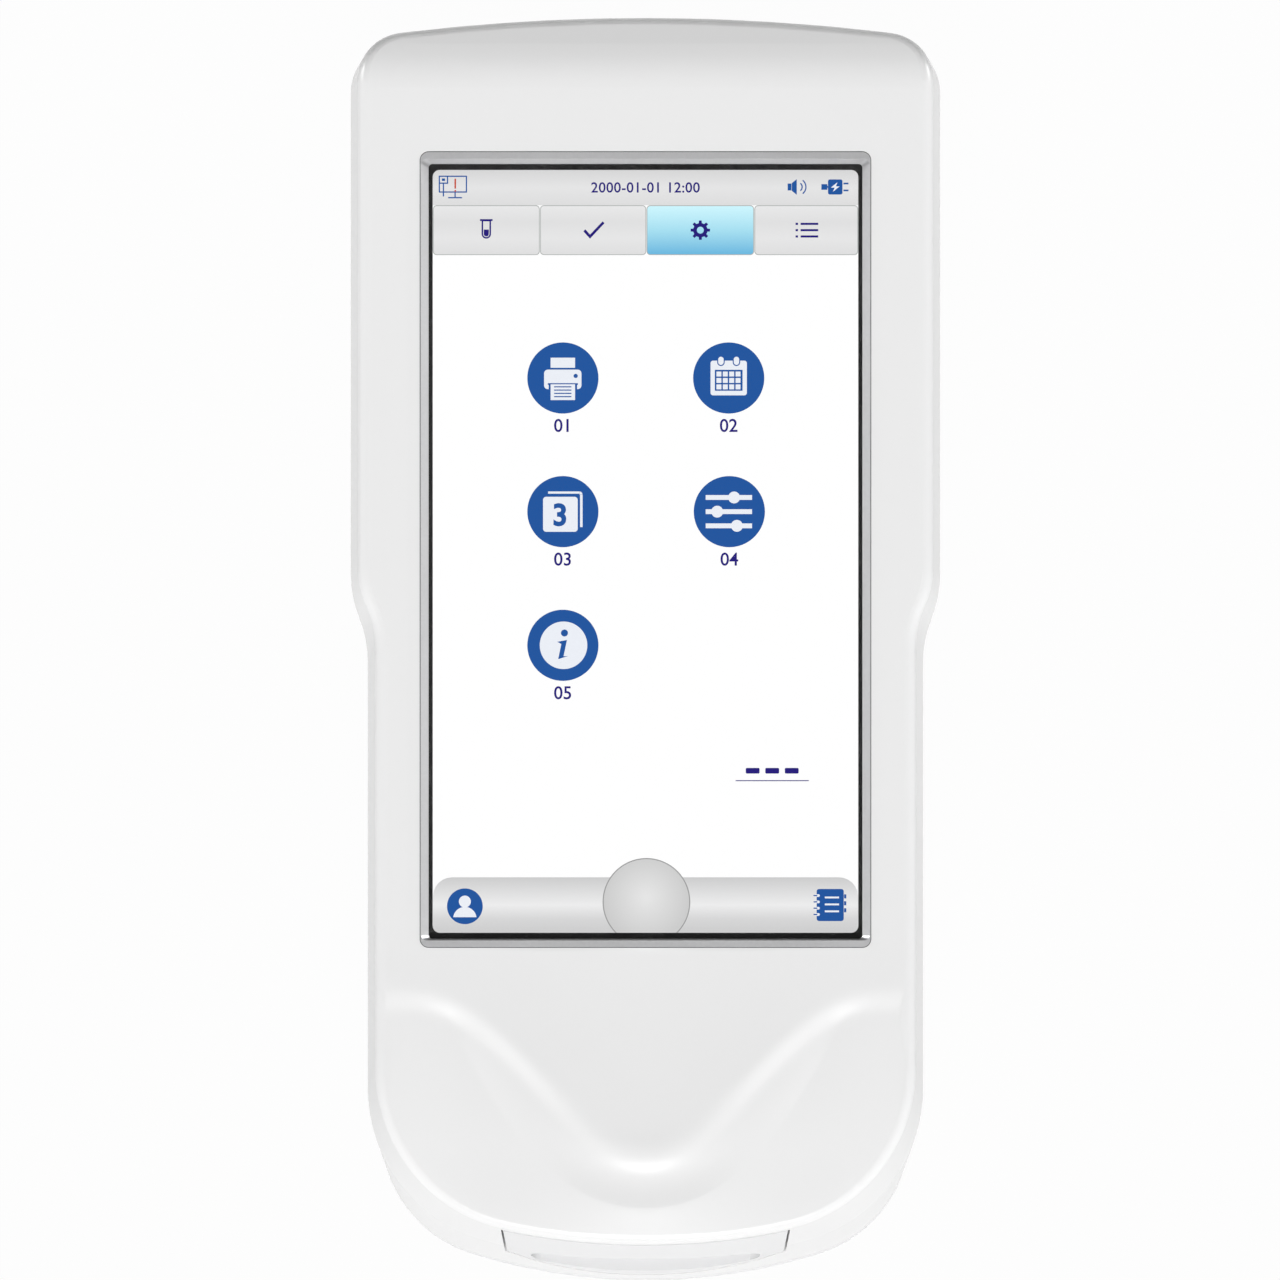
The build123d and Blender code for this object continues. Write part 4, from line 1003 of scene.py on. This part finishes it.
class ANALYZER_OT_nose(Operator):
    """Give the upper cover its moulded nose: tongue, wings, crown and creased finger scoop"""

    bl_idname = "analyzer.nose"
    bl_label = "Moulded nose"

    def execute(self, context):
        sizes = context.scene.analyzer_nose
        material = bpy.data.materials["housing_white"]
        mesh = self.cover_copy(CAD_NODES["upper_cover"].data)
        on_tongue = deck_point(0.0, -65.0 * MM, 0.6 * MM)
        old = island(mesh, on_tongue)
        bmesh.ops.remove_doubles(mesh, verts=mesh.verts, dist=1e-6)
        old = [face for face in old if face.is_valid]
        border = border_of(old)
        points, triangles = self.grid([on_deck(vertex.co)[:2] for vertex in border], sizes)
        sheet = bpy.data.meshes.new("nose_sheet")
        sheet.from_pydata([deck_point(*point) for point in points], [], triangles)
        lifted = relief_tree(sizes, material).bake(sheet)
        bmesh.ops.delete(mesh, geom=old, context="FACES")
        for vertex, point in zip(border, lifted.vertices):
            vertex.co = point.co
        corners = border + [mesh.verts.new(point.co) for point in list(lifted.vertices)[len(border):]]
        fresh = [mesh.faces.new([corners[index] for index in triangle]) for triangle in triangles]
        mesh.normal_update()
        self.even_border(border, fresh)
        self.finish_cover(mesh, material)
        return {"FINISHED"}

    def cover_copy(self, source):
        """The CAD's cover, with its corner normals kept in a layer of their own."""
        mesh = bmesh.new()
        mesh.from_mesh(source)
        self.kept = mesh.loops.layers.float_vector.new("kept")
        mesh.faces.ensure_lookup_table()
        for polygon in source.polygons:
            for loop, index in zip(mesh.faces[polygon.index].loops, polygon.loop_indices):
                loop[self.kept] = source.corner_normals[index].vector
        return mesh

    def scoop_edge(self, x, sizes):
        """Where the scoop's crease lies, up the deck."""
        share = min(abs(x) / sizes.scoop_half, 1.0)
        return sizes.scoop_top - sizes.scoop_drop * (1.0 - share ** sizes.scoop_power)

    def scoop_slope(self, x, sizes):
        """How steeply the crease runs up the deck."""
        step = 1e-5
        return (self.scoop_edge(x + step, sizes) - self.scoop_edge(x - step, sizes)) / (2 * step)

    def grid(self, outline, sizes):
        """Points over the nose, with two lines that hold the scoop's crease, and their triangles."""
        points = list(outline)
        edges = [(i, (i + 1) % len(outline)) for i in range(len(outline))]
        reach = sizes.scoop_half * CREASE_SHARE
        for side in (-1, 1):
            first = len(points)
            for i in range(CREASE_STEPS + 1):
                x = reach * (2 * i / CREASE_STEPS - 1)
                away = Vector((-self.scoop_slope(x, sizes), 1.0)).normalized() * side * sizes.crease
                points.append((x + away.x, self.scoop_edge(x, sizes) + away.y))
            edges += [(first + i, first + i + 1) for i in range(CREASE_STEPS)]
        points += self.rows(outline, sizes)
        plane = [Vector(point) for point in points]
        made, _, faces, origins, _, _ = delaunay_2d_cdt(plane, edges, [], 1, 1e-8)
        real = [origin[0] if origin else None for origin in origins]
        if None in real or len(made) != len(points):
            raise RuntimeError("the nose's points were changed while they were joined")
        return points, [tuple(real[index] for index in face) for face in faces]

    def rows(self, outline, sizes):
        """Points of an even grid of triangles, clear of the outline and of the crease."""
        room = sizes.spacing * ROOM_RATIO
        level = min(y for _, y in outline) + room
        points, odd = [], 0
        while level < max(y for _, y in outline) - room:
            ends = [row_ends(outline, level + shift) for shift in (-room, 0.0, room)]
            if all(ends):
                low = max(end[0] for end in ends) + room
                high = min(end[1] for end in ends) - room
                x = low + odd * sizes.spacing / 2
                while x < high:
                    slope = self.scoop_slope(x, sizes)
                    away = abs(level - self.scoop_edge(x, sizes)) / (1 + slope ** 2) ** 0.5
                    if away > room + sizes.crease or abs(x) > sizes.scoop_half:
                        points.append((x, level))
                    x += sizes.spacing
            level += sizes.spacing * ROW_RATIO
            odd = 1 - odd
        return points

    def even_border(self, border, fresh):
        """Gives both sides of the nose's border one normal, so that no line shows there."""
        fresh = set(fresh)
        for vertex in border:
            total = Vector()
            for loop in vertex.link_loops:
                if loop.face in fresh:
                    total += loop.face.normal * loop.calc_angle()
            for loop in vertex.link_loops:
                if loop.face in fresh or loop[self.kept].dot(total.normalized()) > SMOOTH_DOT:
                    loop[self.kept] = total.normalized()

    def finish_cover(self, mesh, material):
        """Makes the cover a plain piece again, with the kept normals."""
        for face in mesh.faces:
            face.smooth = True
        cover = bpy.data.meshes.new("upper_cover_moulded")
        mesh.to_mesh(cover)
        mesh.free()
        kept = [item.vector.copy() for item in cover.attributes["kept"].data]
        cover.attributes.remove(cover.attributes["kept"])
        cover.normals_split_custom_set(kept)
        piece = link_piece("upper_cover_moulded", cover, material, "housing")
        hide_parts("upper_cover")


def thread_tree(sizes, whole_length, material):
    """A round-threaded screw, stood on each point of the mesh that it is given."""
    shape = Shape("lead_screw_thread", {"core": sizes.core, "crest": sizes.crest, "lead": sizes.lead,
                                        "plain_end": sizes.plain_end, "length": whole_length})
    size = shape.size
    run = size.length - size.plain_end * 2.0
    shaft = shape.node("GeometryNodeMeshCylinder",
                       {"Vertices": 48, "Radius": size.core, "Depth": size.length}).give("Mesh")
    path = shape.node("GeometryNodeCurveSpiral",
                      {"Resolution": 40, "Rotations": run / size.lead, "Start Radius": size.core,
                       "End Radius": size.core, "Height": run}).give("Curve")
    upright = shape.node("GeometryNodeSetCurveNormal", {"Curve": path}, {"mode": "Z_UP"}).give("Curve")
    ridge = shape.node("GeometryNodeCurvePrimitiveCircle",
                       {"Resolution": 10, "Radius": size.crest - size.core}).give("Curve")
    turns = shape.node("GeometryNodeCurveToMesh",
                       {"Curve": upright, "Profile Curve": ridge, "Fill Caps": True}).give("Mesh")

    def lifted(geometry, height):
        rise = shape.node("ShaderNodeCombineXYZ", {"Z": height}).give("Vector")
        values = {"Geometry": geometry, "Translation": rise}
        return shape.node("GeometryNodeTransform", values).give("Geometry")

    parts = [lifted(shaft, size.length * 0.5), lifted(turns, size.plain_end)]
    whole = shape.node("GeometryNodeJoinGeometry", {"Geometry": parts}).give("Geometry")
    stood = shape.node("GeometryNodeInstanceOnPoints",
                       {"Points": shape.entry.give("Geometry"), "Instance": whole})
    shape.close(stood.give("Instances"), material)
    return shape


class ANALYZER_OT_screw(Operator):
    """Turn the press's lead screw with its round thread"""

    bl_idname = "analyzer.screw"
    bl_label = "Lead screw"

    def execute(self, context):
        material = bpy.data.materials["screw_steel"]
        places = [vertex.co for vertex in CAD_NODES["lead_screw"].data.vertices]
        low, high = (Vector(pick(axis) for axis in zip(*places)) for pick in (min, max))
        middle = (low + high) / 2
        seat = bpy.data.meshes.new("lead_screw_seat")
        seat.from_pydata([(middle.x, middle.y, low.z)], [], [])
        mesh = thread_tree(context.scene.analyzer_screw, high.z - low.z, material).bake(seat)
        mesh.shade_smooth()
        mesh.set_sharp_from_angle(angle=radians(50.0))
        piece = link_piece("lead_screw_threaded", mesh, material, "screw")
        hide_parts("lead_screw")
        return {"FINISHED"}


# Each lamp: where it shines from, its spread in degrees and the size that sets its strength.
LAMPS = {"key_lamp": ((0.0, -1.53, 1.29), 30.0, "key_energy"),
         "left_lamp": ((-1.9, 0.7, 0.45), 25.0, "left_energy"),
         "right_lamp": ((1.9, 0.7, 0.45), 25.0, "right_energy")}


class ANALYZER_OT_studio(Operator):
    """Make the floor, the lamps, the surrounding light and the camera"""

    bl_idname = "analyzer.studio"
    bl_label = "Studio"

    def execute(self, context):
        sizes = context.scene.analyzer_studio
        self.floor(sizes)
        self.sky(context.scene, sizes)
        for name, (place, spread, strength) in LAMPS.items():
            self.lamp(name, place, spread, getattr(sizes, strength))
        self.camera(context.scene, sizes)
        context.scene.view_settings.view_transform = "Standard"
        return {"FINISHED"}

    def floor(self, sizes):
        """A floor that lights the object as grey, and that the camera sees as white, faintly shaded."""
        half = sizes.floor_size / 2
        corners = [(-half, -half, 0), (half, -half, 0), (half, half, 0), (-half, half, 0)]
        mesh = bpy.data.meshes.new("floor")
        mesh.from_pydata(corners, [], [(0, 1, 2, 3)])
        floor = added("floor", mesh)
        made = Finish("floor_white")
        cloud = made.noise(made.place(), 3.0)
        tone = made.mix(cloud, (sizes.floor_tone - 0.01,) * 3, (sizes.floor_tone + 0.01,) * 3)
        matt = made.principled(Base_Color=tone, Roughness=0.9)
        glow = made.emission((1.0, 1.0, 1.0), 1.0)
        path = made.node("ShaderNodeLightPath")
        seen = path.give("Is Camera Ray") + path.give("Is Glossy Ray") + path.give("Is Transmission Ray")
        factor = seen.clamped() * sizes.floor_glow
        blend = made.node("ShaderNodeMixShader", {0: factor, 1: matt, 2: glow}).give("Shader")
        set_material(floor, made.finish(blend))

    def sky(self, scene, sizes):
        """Soft surrounding light, darker towards the back, and white where the camera sees it."""
        scene.world = bpy.data.worlds.new("studio_sky")
        made = Finish("studio_sky", scene.world)
        away = made.node("ShaderNodeTexCoord").give("Generated")
        back = (away.part("Y") * 0.5 + 0.5).clamped()
        tone = made.ramp(back, [(spot, (grey,) * 3) for spot, grey in ((0.0, 1.25), (0.5, 1.0), (1.0, 0.35))])
        soft, white = (made.node("ShaderNodeBackground", {"Color": tint, "Strength": strength})
                       .give("Background") for tint, strength in ((tone, sizes.sky), ((1.0,) * 4, 1.0)))
        seen = made.node("ShaderNodeLightPath").give("Is Camera Ray")
        made.finish(made.node("ShaderNodeMixShader", {0: seen, 1: soft, 2: white}).give("Shader"))

    def lamp(self, name, place, spread, energy):
        """A far soft lamp that shines from a place towards the origin, spread in degrees."""
        light = bpy.data.lights.new(name, "SUN")
        light.angle = radians(spread)
        light.energy = energy
        lamp = added(name, light)
        lamp.location = place
        lamp.rotation_euler = (-Vector(place)).to_track_quat("-Z", "Y").to_euler()

    def camera(self, scene, sizes):
        """A long lens that looks straight down on the deck, as the photograph does."""
        data = bpy.data.cameras.new("camera")
        data.sensor_width = 36.0
        data.lens = data.sensor_width * sizes.distance / sizes.frame_width
        data.clip_start = 0.05
        data.clip_end = 60.0
        camera = added("camera", data)
        camera.location = deck_point(sizes.aim_x, sizes.aim_t, sizes.distance)
        camera.rotation_euler = (DECK_TILT, 0.0, 0.0)
        scene.camera = camera


class ANALYZER_PT_panel(Panel):
    """Lists the steps in the sidebar"""

    bl_label = "Analyzer"
    bl_idname = "ANALYZER_PT_panel"
    bl_space_type = "VIEW_3D"
    bl_region_type = "UI"
    bl_category = "Analyzer"

    def draw(self, context):
        for step in STEPS:
            self.layout.operator(step.bl_idname)


STEPS = (ANALYZER_OT_finishes, ANALYZER_OT_nose, ANALYZER_OT_screw, ANALYZER_OT_screen_ground,
         ANALYZER_OT_screen_bars, ANALYZER_OT_screen_symbols, ANALYZER_OT_screen_labels, ANALYZER_OT_studio)
GROUPS = {"analyzer_screen": ScreenSizes, "analyzer_nose": NoseSizes, "analyzer_screw": ScrewSizes,
          "analyzer_colours": FinishColours, "analyzer_studio": StudioSizes}


def register():
    for kind in (*GROUPS.values(), *STEPS, ANALYZER_PT_panel):
        bpy.utils.register_class(kind)
    for name, kind in GROUPS.items():
        setattr(bpy.types.Scene, name, PointerProperty(type=kind))


def unregister():
    for name in GROUPS:
        delattr(bpy.types.Scene, name)
    for kind in (ANALYZER_PT_panel, *reversed(STEPS), *reversed(GROUPS.values())):
        bpy.utils.unregister_class(kind)


def build_analyzer():
    """Runs every step in order."""
    register()
    for step in STEPS:
        group, name = step.bl_idname.split(".")
        getattr(getattr(bpy.ops, group), name)()


if __name__ == "__main__":
    build_analyzer()
